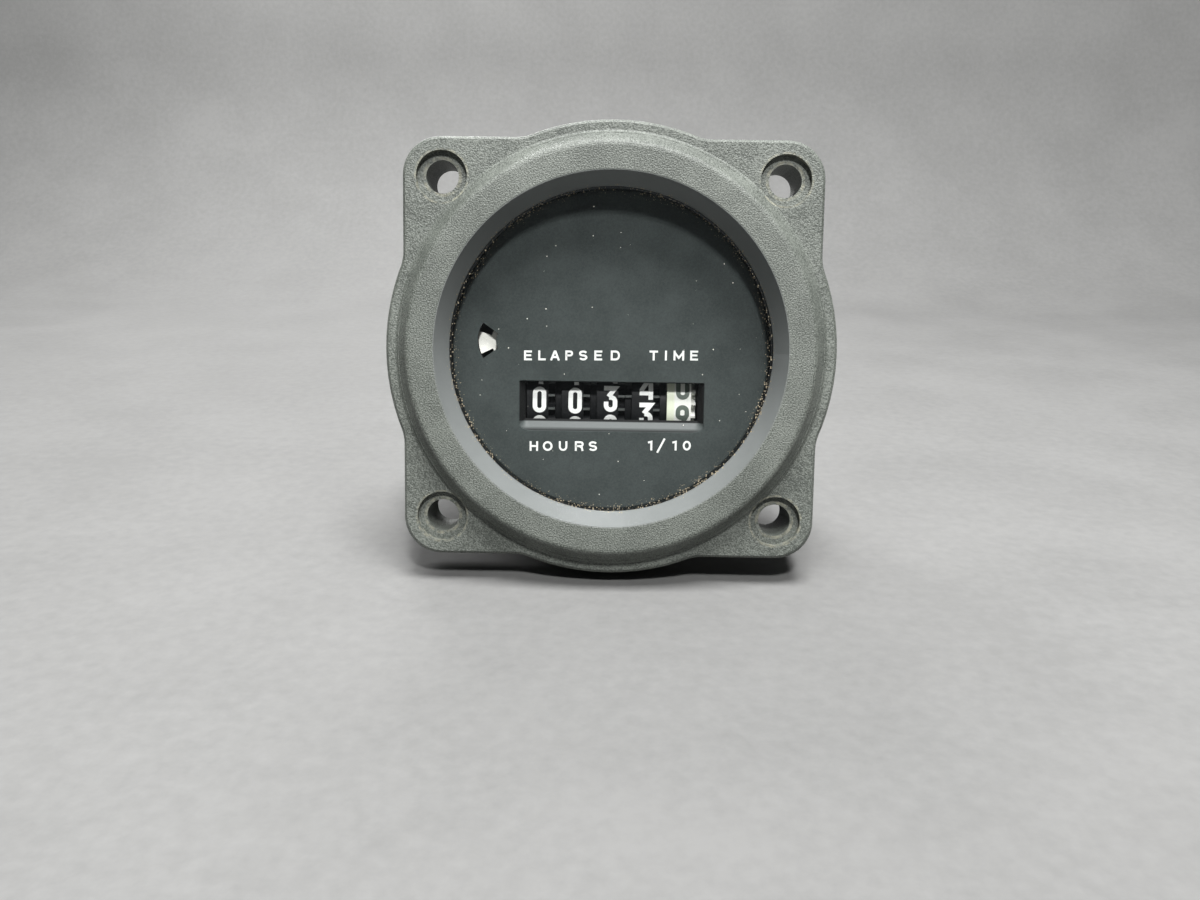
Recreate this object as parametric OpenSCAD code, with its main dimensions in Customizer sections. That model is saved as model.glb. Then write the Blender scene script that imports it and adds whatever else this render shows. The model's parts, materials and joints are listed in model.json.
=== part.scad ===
// Panel hour meter for a 2 1/4 inch instrument hole.
// Origin: centre of the flange's seating plane. The face looks to -Y, the case runs to +Y, +Z is up.

/* [Flange] */
// Width and height of the square flange
flange_w = 58; // [56:0.5:62]
// Thickness of the flange at its corners
flange_t = 10; // [8:0.5:12]
// Radius of the flange's four corners
corner_r = 5.2; // [4:0.2:7]
// Diameter of the round belt that bulges out of the four sides
bulge_d = 63; // [62:0.5:66]
// Radius of the hollow blend between belt and side
blend_r = 6; // [3:0.5:10]
// Rounding of the flange's front edge
edge_r = 0.9; // [0.4:0.1:1.5]
// Spacing of the panel screws, across and up
hole_spacing = 47.14; // [46:0.02:48]
// Diameter of a panel screw hole
hole_d = 4.5; // [3.5:0.1:5]
// Diameter of the counterbore round a screw hole
counterbore_d = 7; // [6:0.1:8]
// Depth of the counterbore
counterbore_t = 1.1; // [0.5:0.1:2]

/* [Raised rim] */
// Diameter of the rim's flat front
rim_d = 56.9; // [56:0.1:58]
// Diameter of the rim where it meets the flange
rim_foot_d = 59.6; // [58.5:0.1:61]
// Height of the rim over the flange's corners
rim_h = 3; // [2:0.1:4]
// Rounding of the rim's front edge
rim_edge_r = 1; // [0.5:0.1:1.4]
// Width of the lip that the lens rests on, inside its bore
lip_w = 2.7; // [2.3:0.1:3.3]
// How far the sight ring widens from the lens to its front
sight_flare = 1.6; // [1:0.1:1.8]
// Straight land of the sight ring in front of the lens
sight_land = 0.4; // [0.2:0.1:0.8]

/* [Case and stack] */
// Diameter of the case that passes through the panel
case_d = 50.8; // [50:0.1:51.4]
// Wall of the case
case_wall = 1.6; // [1.2:0.1:2]
// Depth of the case behind the seating plane
case_depth = 31.5; // [31:0.5:36]
// Thickness of the case's rear wall
rear_wall = 2; // [1.5:0.1:2.5]
// Rounding of the case's rear edge
rear_edge_r = 1.5; // [0.5:0.1:2]
// Depth of the stepped bore behind the lip, from the seating plane
bore_depth = 9.2; // [8.8:0.1:9.6]
// Thickness of the lens
lens_t = 1.8; // [1.2:0.1:2]
// Thickness of the lens gasket
gasket_t = 1; // [0.6:0.1:1.2]
// Width of the lens gasket's ring
gasket_w = 2.3; // [1.3:0.1:2.6]
// Thickness of the dial
dial_t = 1.2; // [1:0.1:1.4]

/* [Dial openings] */
// Width of the counter window behind its bevel
window_w = 24.9; // [24.5:0.1:25.4]
// Height of the counter window behind its bevel
window_h = 5.8; // [5:0.1:6.4]
// Bevel of the counter window
window_bevel = 0.9; // [0.4:0.1:1.1]
// Inner radius of the running indicator's opening
sector_inner_r = 1.8; // [1.6:0.1:2.4]
// Outer radius of the running indicator's opening
sector_outer_r = 4.4; // [4:0.1:4.6]
// Half of the angle that the opening spans
sector_half_angle = 35; // [25:1:40]

/* [Counter] */
// Radius of a number drum
drum_r = 6.7; // [6.5:0.05:6.8]
// Distance from drum to drum
drum_pitch = 5.08; // [5.06:0.01:5.1]
// Width of a number drum's rim
drum_rim_w = 3.1; // [3:0.05:3.1]
// Width of the tenths drum's rim
tenths_rim_w = 3.5; // [3.4:0.05:3.55]
// Place of the first drum's left edge, across
drum_start_x = -12.1; // [-12.2:0.05:-12]
// Place of the drum shaft behind the seating plane
drum_axis_y = 2; // [1.9:0.05:2.3]
// Height of the drum shaft
drum_axis_z = -7.5; // [-7.6:0.05:-7.4]
// Diameter of the drum shaft
drum_shaft_d = 2; // [1.6:0.1:2.4]
// Module of the counter's teeth
counter_module = 0.56; // [0.55:0.005:0.565]
// Width of a drum's ring of teeth
ring_w = 0.95; // [0.8:0.05:0.95]
// Diameter of the pinion shaft
pinion_shaft_d = 1.2; // [1:0.1:1.4]

/* [Worm] */
// Module of the worm and its wheel
worm_module = 0.5; // [0.49:0.005:0.51]
// Pitch radius of the worm
worm_pitch_r = 1.8; // [1.75:0.05:1.85]
// Length of the worm
worm_len = 5; // [4.5:0.1:5.2]
// Diameter of the worm's arbor
worm_arbor_d = 1.4; // [1.2:0.1:1.5]
// Diameter of the cross shaft that drives the tenths drum
cross_shaft_d = 1.2; // [1:0.1:1.4]

/* [Gear train] */
// Module of the fast stage, from the rotor to the first wheel and to the indicator
fast_module = 0.25; // [0.248:0.001:0.252]
// Module of the middle stage
middle_module = 0.3; // [0.298:0.001:0.302]
// Module of the slow stage, onto the worm's arbor
slow_module = 0.4; // [0.397:0.001:0.402]
// Diameter of the train's pivots
pivot_d = 0.9; // [0.7:0.05:1]
// Width of a train wheel
wheel_w = 1; // [0.8:0.05:1.1]
// Width of a train pinion
leaf_w = 1.8; // [1.6:0.05:1.8]

/* [Movement] */
// Front of the movement's main plate
plate_y = 13.5; // [13.4:0.1:13.8]
// Thickness of the main plate and of the rear plate
plate_t = 1.5; // [1.3:0.1:1.5]
// Space between the two plates
plate_gap = 6.5; // [6.4:0.1:6.8]
// Thickness of the cheeks that hold the counter
cheek_t = 1; // [0.8:0.05:1.2]
// Diameter of the posts between the plates
post_d = 2.8; // [2.4:0.1:3]
// Diameter of the case's inner bosses
boss_d = 4.4; // [4:0.1:4.6]

/* [Motor] */
// Thickness of the stator lamination
stator_t = 1.2; // [1:0.1:1.3]
// Diameter of the rotor magnet
magnet_d = 5; // [4.6:0.1:5.2]
// Thickness of the rotor magnet
magnet_t = 2.4; // [2:0.1:2.6]
// Diameter of the bobbin's flanges
bobbin_d = 7; // [6.6:0.1:7.2]
// Diameter of the winding
winding_d = 6.2; // [5.6:0.1:6.4]

/* [Circuit and terminals] */
// Thickness of the circuit board
board_t = 1.6; // [1.4:0.1:1.6]
// Width of a spade terminal
blade_w = 6.35; // [6:0.05:6.4]
// Thickness of a spade terminal
blade_t = 0.8; // [0.6:0.05:1]
// Length of a spade terminal behind the case
blade_len = 8; // [7:0.5:9]

/* [Hidden] */
curve_fn = 72;
small_fn = 32;
outline_fn = 48;
// Overrun of every cut
over = 0.5;
// Radial clearance of a turning fit, and the gap of a pressed one
run_gap = 0.06;
press_gap = 0.03;
// Clearance of the loose fits: lens, gasket and dial in the bezel's bore
stack_gap = 0.2;
// Clearance of the bezel's bore round the case, and of the case's shoulder behind the bezel
case_gap = 0.1;
// Clearance between the sides of neighbouring drums
drum_gap = 0.08;

// The bezel's levels
edge_steps = 3;
face_y = -(flange_t + rim_h);
lip_y = -bore_depth;
neck_r = case_d / 2 - 0.25 * case_wall;
bore_d = case_d + 2 * case_gap;
stack_d = bore_d - 2 * stack_gap;
sight_d = stack_d - 2 * lip_w;
sight_front_d = sight_d + 2 * sight_flare;
gasket_bore = stack_d - 2 * gasket_w;
gasket_y = lip_y + lens_t;
dial_y = gasket_y + gasket_t;
case_y = dial_y + dial_t;
cove_r = 0.7;
// How far the sight ring's cone widens over its depth
sight_slope = (sight_front_d - sight_d) / 2 / (lip_y - sight_land - face_y);

// The case
case_inner_r = case_d / 2 - case_wall;
rear_inner_y = case_depth - rear_wall;
boss_angles = [52, 135, 270];
boss_r = case_inner_r - boss_d / 2 - 0.2 * case_wall;

// Share of a tooth's pitch that its thickness takes, at tip, pitch line and root
tip_share = 0.17;
pitch_share = 0.4;
root_share = 0.5;
// Height of a tooth below the pitch line, in modules
root_modules = 1.25;

// The counter: teeth, gears and places
ring_teeth = 20;
pinion_teeth = 8;
ring_pitch_r = counter_module * ring_teeth / 2;
ring_tip_r = ring_pitch_r + counter_module;
ring_root_r = ring_pitch_r - root_modules * counter_module;
pinion_pitch_r = counter_module * pinion_teeth / 2;
pinion_root_r = pinion_pitch_r - root_modules * counter_module;
pinion_axis_y = drum_axis_y + ring_pitch_r + pinion_pitch_r;
lock_r = ring_pitch_r + 0.2 * counter_module;
drum_hub_r = drum_shaft_d / 2 + 1.2 * cheek_t;
groove_outer_r = ring_root_r - 0.5 * cheek_t;
groove_t = 0.35 * drum_rim_w;
drive_w = 0.68;
drum_count = 5;
// What each drum shows, from thousands to tenths: the last two are half way to the next number
drum_shows = [0, 0, 3, 3.5, 9.5];
// The number at which a drum's two teeth stand at the pinions
transfer_at = 9.5;
drum_end_x = drum_left(drum_count - 1) + tenths_rim_w + drive_w;
cheek_gap = 0.8;
left_cheek_x = drum_start_x - cheek_gap - cheek_t;
right_cheek_x = drum_end_x + cheek_gap;
cheek_h = 6;

// The middle of the counter window
window_x = (drum_start_x + drum_end_x) / 2 + 0.2 * cheek_gap;
window_z = drum_axis_z + 0.3 * cheek_t;

// The cross shaft: a pinion on the tenths drum's driving teeth, and a worm wheel outside the cheek
drive_dir = 60;
cross_y = drum_axis_y + (ring_pitch_r + pinion_pitch_r) * cos(drive_dir);
cross_z = drum_axis_z + (ring_pitch_r + pinion_pitch_r) * sin(drive_dir);
ear_r = 1.6 * cross_shaft_d;
worm_wheel_teeth = 16;
worm_wheel_w = 1;
worm_wheel_gap = 0.9;
worm_wheel_x = right_cheek_x + cheek_t + worm_wheel_gap;
worm_wheel_pitch_r = worm_module * worm_wheel_teeth / 2;
outrigger_x = worm_wheel_x + worm_wheel_w + worm_wheel_gap;

// The worm, over its wheel
worm_x = worm_wheel_x + worm_wheel_w / 2;
worm_z = cross_z + worm_wheel_pitch_r + worm_pitch_r;
worm_lead = PI * worm_module;
worm_tip_r = worm_pitch_r + 0.85 * worm_module;
worm_root_r = worm_pitch_r - 1.1 * worm_module;
worm_steps = 16;
worm_slices = 48;
worm_crest_share = 0.25;
worm_foot_share = 0.6;
arm_t = 1;
arm_w = 4;
arm_gap = 0.5;
arm_y = cross_y - worm_len / 2 - arm_gap - arm_t;

// The train: teeth and directions from each arbor to the next
third_teeth = 30;
second_teeth = 40;
second_leaves = 10;
first_teeth = 48;
first_leaves = 8;
rotor_leaves = 8;
indicator_teeth = 65;
second_dir = 172;
first_dir = 198.2;
rotor_dir = 205;
indicator_dir = 178.4;
third_at = [worm_x, worm_z];
second_at = third_at + mesh_r(slow_module, second_leaves, third_teeth) * unit(second_dir);
first_at = second_at + mesh_r(middle_module, first_leaves, second_teeth) * unit(first_dir);
rotor_at = first_at + mesh_r(fast_module, rotor_leaves, first_teeth) * unit(rotor_dir);
indicator_at = rotor_at + mesh_r(fast_module, rotor_leaves, indicator_teeth) * unit(indicator_dir);
// Where a tooth of each wheel points
third_phase = 0;
second_leaf_phase = meshed(third_phase, third_teeth, second_leaves, second_dir);
second_phase = 0;
first_leaf_phase = meshed(second_phase, second_teeth, first_leaves, first_dir);
first_phase = 0;
rotor_phase = meshed(first_phase, first_teeth, rotor_leaves, rotor_dir);
indicator_phase = meshed(rotor_phase, rotor_leaves, indicator_teeth, indicator_dir);

// The levels between the plates
train_y = plate_y + plate_t;
rear_plate_y = train_y + plate_gap;
rear_plate_end = rear_plate_y + plate_t;
leaf_step = plate_gap / 3;
wheel_inset = (leaf_step - wheel_w) / 2;
leaf_inset = (leaf_step - leaf_w) / 2;
collar_r = 0.8 * pivot_d;
main_plate_r = case_inner_r - 0.5 * case_wall;
rear_plate_r = boss_r - 0.15 * boss_d;
boss_notch_r = boss_d / 2 + 0.4 * case_wall;
// Places across and up, as shares of the main plate's radius
post_shares = [[-0.326, 0.522], [0.261, 0.652], [0, -0.435]];
post_places = [for (s = post_shares) s * main_plate_r];
post_bore_d = 1.6;
screw_d = 2;
screw_gap = 0.1;
screw_head_d = 3.6;
screw_head_t = 1.2;
movement_screw_len = 6;
rear_screw_len = 4;

// The running indicator
wheel_blades = 4;
blade_half_angle = 21;
blade_rest_angle = 184;
blade_r = sector_outer_r + 0.2;
hub_disc_r = 2.65;
indicator_t = 0.6;
indicator_y = case_y + 0.4;
indicator_arbor_d = 1;

// The motor, in front of the main plate
stator_y = 8.2;
pole_r = magnet_d / 2 + 0.5;
pole_wall = 0.9;
leg_w = 2.8;
core_z = 16.45;
core_h = 3;
stator_half_w = 10.1;
stator_left_x = -stator_half_w;
stator_top_z = core_z + core_h / 2;
stator_bottom_z = rotor_at[1] - pole_r - 0.7 * pole_wall;
window_bottom_z = rotor_at[1] + pole_r + pole_wall;
window_top_z = core_z - core_h / 2;
shoulder_z = window_top_z - 0.85 * leg_w;
pole_right_x = rotor_at[0] + pole_r + pole_wall;
stator_screw_places = [for (s = [-1, 1]) [s * (stator_half_w - 0.6 * leg_w), core_z]];
stator_boss_d = 3;
bobbin_len = 12.6;
bobbin_flange_t = 0.8;
bobbin_tube_d = 4.4;
coil_y = stator_y + stator_t / 2;
lead_d = 0.7;
lead_drop = 1.3;
lead_x = bobbin_len / 2 - bobbin_flange_t;
lead_z = core_z + bobbin_d / 2 - 0.3 * lead_d;
lead_hole_at = [lead_x, lead_z - lead_drop / 2];
lead_block = 2;
lead_hole_r = 1.5;

// The circuit board and what it carries
board_standoff = 1.4;
board_y = rear_inner_y - board_standoff - board_t;
standoff_d = 4;
standoff_shares = [[-0.522, -0.435], [0.522, -0.435], [0, 0.435]];
standoff_places = [for (s = standoff_shares) s * main_plate_r];
chip_size = [6, 2, 5];
chip_share = [-0.26, 0.26];
crystal_d = 2;
crystal_len = 6;
crystal_share = [0.13, 0.565];
capacitor_d = 2.6;
capacitor_len = 6;
capacitor_share = [0.35, 0.04];
resistor_d = 1.8;
resistor_len = 4.5;
resistor_share = [-0.39, -0.22];
diode_d = 1.8;
diode_len = 4;
diode_share = [-0.04, -0.13];
wire_d = 0.5;
wire_reach = 1.6;
part_gap = 0.05;

// The terminals
terminal_x = 6.5;
terminal_z = -13;
shoulder_w = 8;
shoulder_t = 1;
tail_w = 2.2;
tail_len = 0.6;
blade_point = 1.2;
blade_hole_d = 1.8;
blade_gap = 0.1;
collar_w = 10;
collar_h = 4;
collar_t = 0.8;

function unit(a) = [cos(a), sin(a)];
function mesh_r(m, a, b) = m * (a + b) / 2;
function drum_left(i) = drum_start_x + i * drum_pitch;
function meshed(phase, teeth, other, dir) = dir + 180 - 180 / other + (dir - phase) * teeth / other;
function arc(r, from, to, steps) = [for (i = [0:steps]) r * unit(from + (to - from) * i / steps)];

// A tooth's half angle where the share of the pitch is given
function half_angle(teeth, share) = 180 * share / teeth;

// One tooth's outline: root, pitch line, tip, and back again
function tooth(m, teeth, a) =
    let (
        pitch_r = m * teeth / 2,
        radii = [pitch_r - root_modules * m, pitch_r, pitch_r + m],
        halves = [for (s = [root_share, pitch_share, tip_share]) half_angle(teeth, s)]
    )
    concat(
        [for (i = [0:2]) radii[i] * unit(a - halves[i])],
        [for (i = [2:-1:0]) radii[i] * unit(a + halves[i])]
    );

module gear_outline(m, teeth, phase) {
    polygon([for (i = [0:teeth - 1]) each tooth(m, teeth, phase + 360 * i / teeth)]);
}

// A flat piece: its outline is drawn across and up, and it runs from front to back
module slab(front, back) {
    translate([0, back, 0]) rotate([90, 0, 0]) linear_extrude(back - front) children();
}

// A round bar along the depth
module rod(at, front, back, d, fn = small_fn) {
    translate([at[0], front, at[1]]) rotate([-90, 0, 0]) cylinder(d = d, h = back - front, $fn = fn);
}

// A turned piece about the meter's axis: its profile is radius and depth
module turned() {
    rotate([-90, 0, 0]) rotate_extrude($fn = curve_fn) children();
}

// A piece on the drum shaft or the pinion shaft
module on_shaft(x, y) {
    translate([x, y, drum_axis_z]) rotate([0, 90, 0]) children();
}

module at_holes() {
    for (sx = [-1, 1], sz = [-1, 1]) {
        translate([sx * hole_spacing / 2, 0, sz * hole_spacing / 2]) children();
    }
}

module boss_places() {
    for (a = boss_angles) {
        translate(boss_r * unit(a)) children();
    }
}

// Bezel: one moulding, a square flange with a round belt, and the rim that frames the lens
module bezel_outline() {
    offset(r = -blend_r, $fn = outline_fn) offset(r = blend_r, $fn = outline_fn) union() {
        offset(r = corner_r, $fn = outline_fn) square(flange_w - 2 * corner_r, center = true);
        circle(d = bulge_d, $fn = 2 * outline_fn);
    }
}

function edge_inset(i) = edge_r * (1 - cos(90 * i / edge_steps));
function edge_rise(i) = edge_r * sin(90 * i / edge_steps);
function edge_scale(i) = 1 - 2 * edge_inset(i) / flange_w;

module flange_body() {
    slab(edge_r - flange_t, 0) bezel_outline();
    for (i = [0:edge_steps - 1]) {
        translate([0, edge_r - flange_t - edge_rise(i), 0])
            rotate([90, 0, 0])
                linear_extrude(edge_rise(i + 1) - edge_rise(i), scale = edge_scale(i + 1) / edge_scale(i))
                    scale(edge_scale(i)) bezel_outline();
    }
}

module rim_body() {
    edge_at = [rim_d / 2 - rim_edge_r, face_y + rim_edge_r];
    foot_r = rim_foot_d / 2;
    turned() polygon(concat(
        [[sight_d / 2 - over, -flange_t / 2], [sight_d / 2 - over, face_y]],
        [for (p = arc(rim_edge_r, -90, 0, 5)) edge_at + p],
        [[foot_r - 0.5 * cove_r, -flange_t - cove_r]],
        [for (p = arc(cove_r, 180, 110, 4)) [foot_r + 0.6 * cove_r, -flange_t - cove_r] + p],
        [[foot_r, -flange_t / 2]]
    ));
}

module bezel() {
    color("#4b504d") difference() {
        union() {
            flange_body();
            rim_body();
        }
        turned() polygon([
            [0, face_y - over],
            [sight_front_d / 2 + over * sight_slope, face_y - over],
            [sight_d / 2, lip_y - sight_land],
            [sight_d / 2, lip_y + over],
            [0, lip_y + over]
        ]);
        rod([0, 0], lip_y, over, bore_d, curve_fn);
        at_holes() rod([0, 0], -flange_t - over, over, hole_d);
        at_holes() rod([0, 0], -flange_t - over, counterbore_t - flange_t, counterbore_d);
    }
}

// Lens: a flat disc of clear glass against the lip
module lens() {
    color([0.8, 0.85, 0.85, 0.35]) rod([0, 0], lip_y, gasket_y, stack_d, curve_fn);
}

module lens_gasket() {
    color("#1c1c1c") turned() translate([gasket_bore / 2, gasket_y])
        square([(stack_d - gasket_bore) / 2, gasket_t]);
}

// Dial: a black disc with the counter window and the running indicator's opening
module window_cut() {
    rear_w = window_w;
    front_w = window_w + 2 * window_bevel;
    rear_h = window_h;
    front_h = window_h + 2 * window_bevel;
    grow = 1 + over / dial_t;
    slab(dial_y, case_y + over) square([rear_w, rear_h], center = true);
    translate([0, case_y, 0]) rotate([90, 0, 0])
        linear_extrude(dial_t * grow, scale = [
            1 + grow * (front_w / rear_w - 1),
            1 + grow * (front_h / rear_h - 1)
        ]) square([rear_w, rear_h], center = true);
}

module sector_cut() {
    slab(dial_y - over, case_y + over) translate(indicator_at) polygon(concat(
        arc(sector_outer_r, 180 - sector_half_angle, 180 + sector_half_angle, 12),
        arc(sector_inner_r, 180 + sector_half_angle, 180 - sector_half_angle, 8)
    ));
}

module dial() {
    color("#17181a") difference() {
        rod([0, 0], dial_y, case_y, stack_d, curve_fn);
        translate([window_x, 0, window_z]) window_cut();
        sector_cut();
    }
}

// Case: a deep cup. Its neck stands in the bezel, and inside are three bosses for the movement.
module case_shell() {
    outer_r = case_d / 2;
    edge_at = [outer_r - rear_edge_r, case_depth - rear_edge_r];
    turned() polygon(concat(
        [[case_inner_r, case_y], [neck_r, case_y], [neck_r, case_gap], [outer_r, case_gap]],
        [for (p = arc(rear_edge_r, 0, 90, 5)) edge_at + p],
        [[0, case_depth], [0, rear_inner_y], [case_inner_r, rear_inner_y]]
    ));
}

module at_terminals() {
    for (sx = [-1, 1]) {
        translate([sx * terminal_x, 0, terminal_z]) children();
    }
}

module case() {
    color("#26282a") difference() {
        union() {
            case_shell();
            slab(train_y, case_depth - rear_wall / 2) boss_places() circle(d = boss_d, $fn = small_fn);
            slab(board_y + board_t, case_depth - rear_wall / 2)
                for (p = standoff_places) translate(p) circle(d = standoff_d, $fn = small_fn);
            at_terminals() slab(case_depth - rear_wall / 2, case_depth + collar_t)
                square([collar_w, collar_h], center = true);
        }
        at_terminals() slab(rear_inner_y - over, case_depth + collar_t + over)
            square([blade_w + 2 * blade_gap, blade_t + 2 * blade_gap], center = true);
        for (a = boss_angles) {
            rod(boss_r * unit(a), train_y - over, train_y + movement_screw_len, screw_d + 2 * press_gap);
        }
    }
}

// Movement frame: main plate, two cheeks for the counter, the worm's arm, posts and motor bosses
module on_cheek(y, z = drum_axis_z) {
    translate([0, y, z]) rotate([0, 90, 0]) children();
}

module shaft_hole(d, gap) {
    translate([0, 0, -over]) cylinder(d = d + 2 * gap, h = cheek_t + 2 * over, $fn = small_fn);
}

// A cheek's outline: a round front end about the shaft, and a straight shank back into the plate
module shank(y, z, r, drop) {
    back = train_y - plate_t / 2 - y;
    on_cheek(y, z) linear_extrude(cheek_t)
        polygon(concat(arc(r, 180, 360, 16), [[drop, 0], [drop, back], [-r, back]]));
}

module cheek(x) {
    translate([x, 0, 0]) difference() {
        shank(drum_axis_y, drum_axis_z, cheek_h / 2, cheek_h / 2);
        on_cheek(drum_axis_y) shaft_hole(drum_shaft_d, press_gap);
        on_cheek(pinion_axis_y) shaft_hole(pinion_shaft_d, press_gap);
    }
}

// The right cheek's ear, and the outrigger beyond the worm wheel: they carry the cross shaft
module ear(x, low_z) {
    translate([x, 0, 0]) difference() {
        shank(cross_y, cross_z, ear_r, cross_z - low_z);
        on_cheek(cross_y, cross_z) shaft_hole(cross_shaft_d, run_gap);
    }
}

module worm_arm() {
    arm_back_z = worm_z + worm_tip_r + arm_gap;
    translate([worm_x - arm_w / 2, arm_y, arm_back_z])
        cube([arm_w, train_y - plate_t / 2 - arm_y, arm_t]);
    translate([worm_x - arm_w / 2, arm_y, worm_z - worm_arbor_d])
        cube([arm_w, arm_t, arm_back_z + arm_t - worm_z + worm_arbor_d]);
}

module movement_frame() {
    color("#b9bcbb") difference() {
        union() {
            rod([0, 0], plate_y, train_y, 2 * main_plate_r, curve_fn);
            cheek(left_cheek_x);
            cheek(right_cheek_x);
            ear(right_cheek_x, drum_axis_z + cheek_h / 4);
            ear(outrigger_x, cross_z - ear_r);
            worm_arm();
            for (p = post_places) rod(p, plate_y + plate_t / 2, rear_plate_y, post_d);
            for (p = stator_screw_places) rod(p, stator_y + stator_t, plate_y + plate_t / 2, stator_boss_d);
        }
        rod(third_at, arm_y - over, train_y + over, worm_arbor_d + 2 * run_gap);
        rod(indicator_at, plate_y - over, train_y + over, indicator_arbor_d + 2 * run_gap);
        rod(rotor_at, plate_y - over, train_y + over, 2 * collar_r + 2 * run_gap);
        for (p = [first_at, second_at]) rod(p, plate_y - over, train_y + over, pivot_d + 2 * run_gap);
        for (p = post_places) {
            rod(p, rear_plate_y - rear_screw_len, rear_plate_y + over, post_bore_d + 2 * press_gap);
        }
        for (a = boss_angles) rod(boss_r * unit(a), plate_y - over, train_y + over, screw_d + 2 * screw_gap);
        for (p = stator_screw_places) rod(p, stator_y, plate_y + plate_t / 3, post_bore_d + 2 * press_gap);
        rod(lead_hole_at, plate_y - over, train_y + over, 2 * lead_hole_r);
    }
}

module rear_plate() {
    color("#b9bcbb") difference() {
        rod([0, 0], rear_plate_y, rear_plate_end, 2 * rear_plate_r, curve_fn);
        slab(rear_plate_y - over, rear_plate_end + over)
            boss_places() circle(r = boss_notch_r, $fn = small_fn);
        for (p = [first_at, second_at, rotor_at]) {
            rod(p, rear_plate_y - over, rear_plate_end + over, pivot_d + 2 * run_gap);
        }
        rod(third_at, rear_plate_y - over, rear_plate_end + over, worm_arbor_d + 2 * run_gap);
        rod(indicator_at, rear_plate_y - over, rear_plate_end + over, indicator_arbor_d + 2 * run_gap);
        for (p = post_places) {
            rod(p, rear_plate_y - over, rear_plate_end + over, post_bore_d + 2 * screw_gap);
        }
        rod(lead_hole_at, rear_plate_y - over, rear_plate_end + over, 2 * lead_hole_r);
    }
}

// A cheese-head screw along the depth: dir 1 points it to the rear, -1 to the front
module screw(at, seat, d, length, dir) {
    translate([at[0], seat, at[1]]) rotate([-90 * dir, 0, 0]) difference() {
        union() {
            cylinder(d = d, h = length, $fn = small_fn);
            translate([0, 0, -screw_head_t]) cylinder(d = screw_head_d, h = screw_head_t, $fn = small_fn);
        }
        translate([-screw_head_d, -screw_head_d / 12, -screw_head_t - over])
            cube([2 * screw_head_d, screw_head_d / 6, over + screw_head_t / 2]);
    }
}

module movement_screws() {
    color("#c9ccd0") for (a = boss_angles) {
        screw(boss_r * unit(a), plate_y, screw_d, plate_t + movement_screw_len - over, 1);
    }
}

module rear_plate_screws() {
    color("#c9ccd0") for (p = post_places) {
        screw(p, rear_plate_end, post_bore_d, plate_t + rear_screw_len - over, -1);
    }
}

module stator_screws() {
    color("#c9ccd0") for (p = stator_screw_places) screw(p, stator_y, post_bore_d, plate_y - stator_y, 1);
}

// Counter: five drums on a fixed shaft, and behind them four pinions that carry over
module drum_shaft() {
    color("#c9ccd0") on_shaft(left_cheek_x, drum_axis_y)
        cylinder(d = drum_shaft_d, h = right_cheek_x + cheek_t - left_cheek_x, $fn = small_fn);
}

module pinion_shaft() {
    color("#c9ccd0") on_shaft(left_cheek_x, pinion_axis_y)
        cylinder(d = pinion_shaft_d, h = right_cheek_x + cheek_t - left_cheek_x, $fn = small_fn);
}

// The locking disc with its two teeth, which stand at the given angle
module transfer_outline(a) {
    step = 360 / ring_teeth;
    difference() {
        circle(r = lock_r, $fn = curve_fn);
        polygon(concat([[0, 0]], arc(ring_tip_r, a - 1.5 * step, a + 1.5 * step, 6)));
    }
    intersection() {
        gear_outline(counter_module, ring_teeth, a + step / 2);
        polygon(concat([[0, 0]], arc(ring_tip_r + counter_module, a - 1.6 * step, a + 1.6 * step, 6)));
    }
}

module drum(i) {
    last = i == drum_count - 1;
    rim_w = last ? tenths_rim_w : drum_rim_w;
    right_w = last ? drive_w : ring_w;
    hub_left = i == 0 ? cheek_gap - drum_gap : ring_w;
    hub_right = last ? drive_w + cheek_gap - drum_gap : ring_w;
    hub_w = hub_left + rim_w + hub_right;
    transfer_angle = 90 + 360 * (drum_shows[i] - transfer_at) / 10;
    on_shaft(drum_left(i), drum_axis_y) difference() {
        union() {
            cylinder(r = drum_r, h = rim_w, $fn = curve_fn);
            translate([0, 0, rim_w / 2]) linear_extrude(rim_w / 2 + right_w)
                gear_outline(counter_module, ring_teeth, last ? 0 : 180 / ring_teeth);
            if (i > 0) {
                translate([0, 0, -ring_w])
                    linear_extrude(ring_w + rim_w / 2) transfer_outline(transfer_angle);
            }
            translate([0, 0, -hub_left]) cylinder(r = drum_hub_r, h = hub_w, $fn = small_fn);
        }
        translate([0, 0, -hub_left - over])
            cylinder(d = drum_shaft_d + 2 * run_gap, h = hub_w + 2 * over, $fn = small_fn);
        for (side = [0, 1]) {
            translate([0, 0, side == 0 ? -ring_w - over : rim_w - groove_t]) difference() {
                cylinder(r = groove_outer_r, h = ring_w + over + groove_t, $fn = curve_fn);
                translate([0, 0, -over])
                    cylinder(r = drum_hub_r, h = ring_w + groove_t + 3 * over, $fn = small_fn);
            }
        }
    }
}

module thousands_drum() { color("#1b1b1c") drum(0); }
module hundreds_drum() { color("#1b1b1c") drum(1); }
module tens_drum() { color("#1b1b1c") drum(2); }
module units_drum() { color("#1b1b1c") drum(3); }
module tenths_drum() { color("#e9e7e0") drum(4); }

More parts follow.
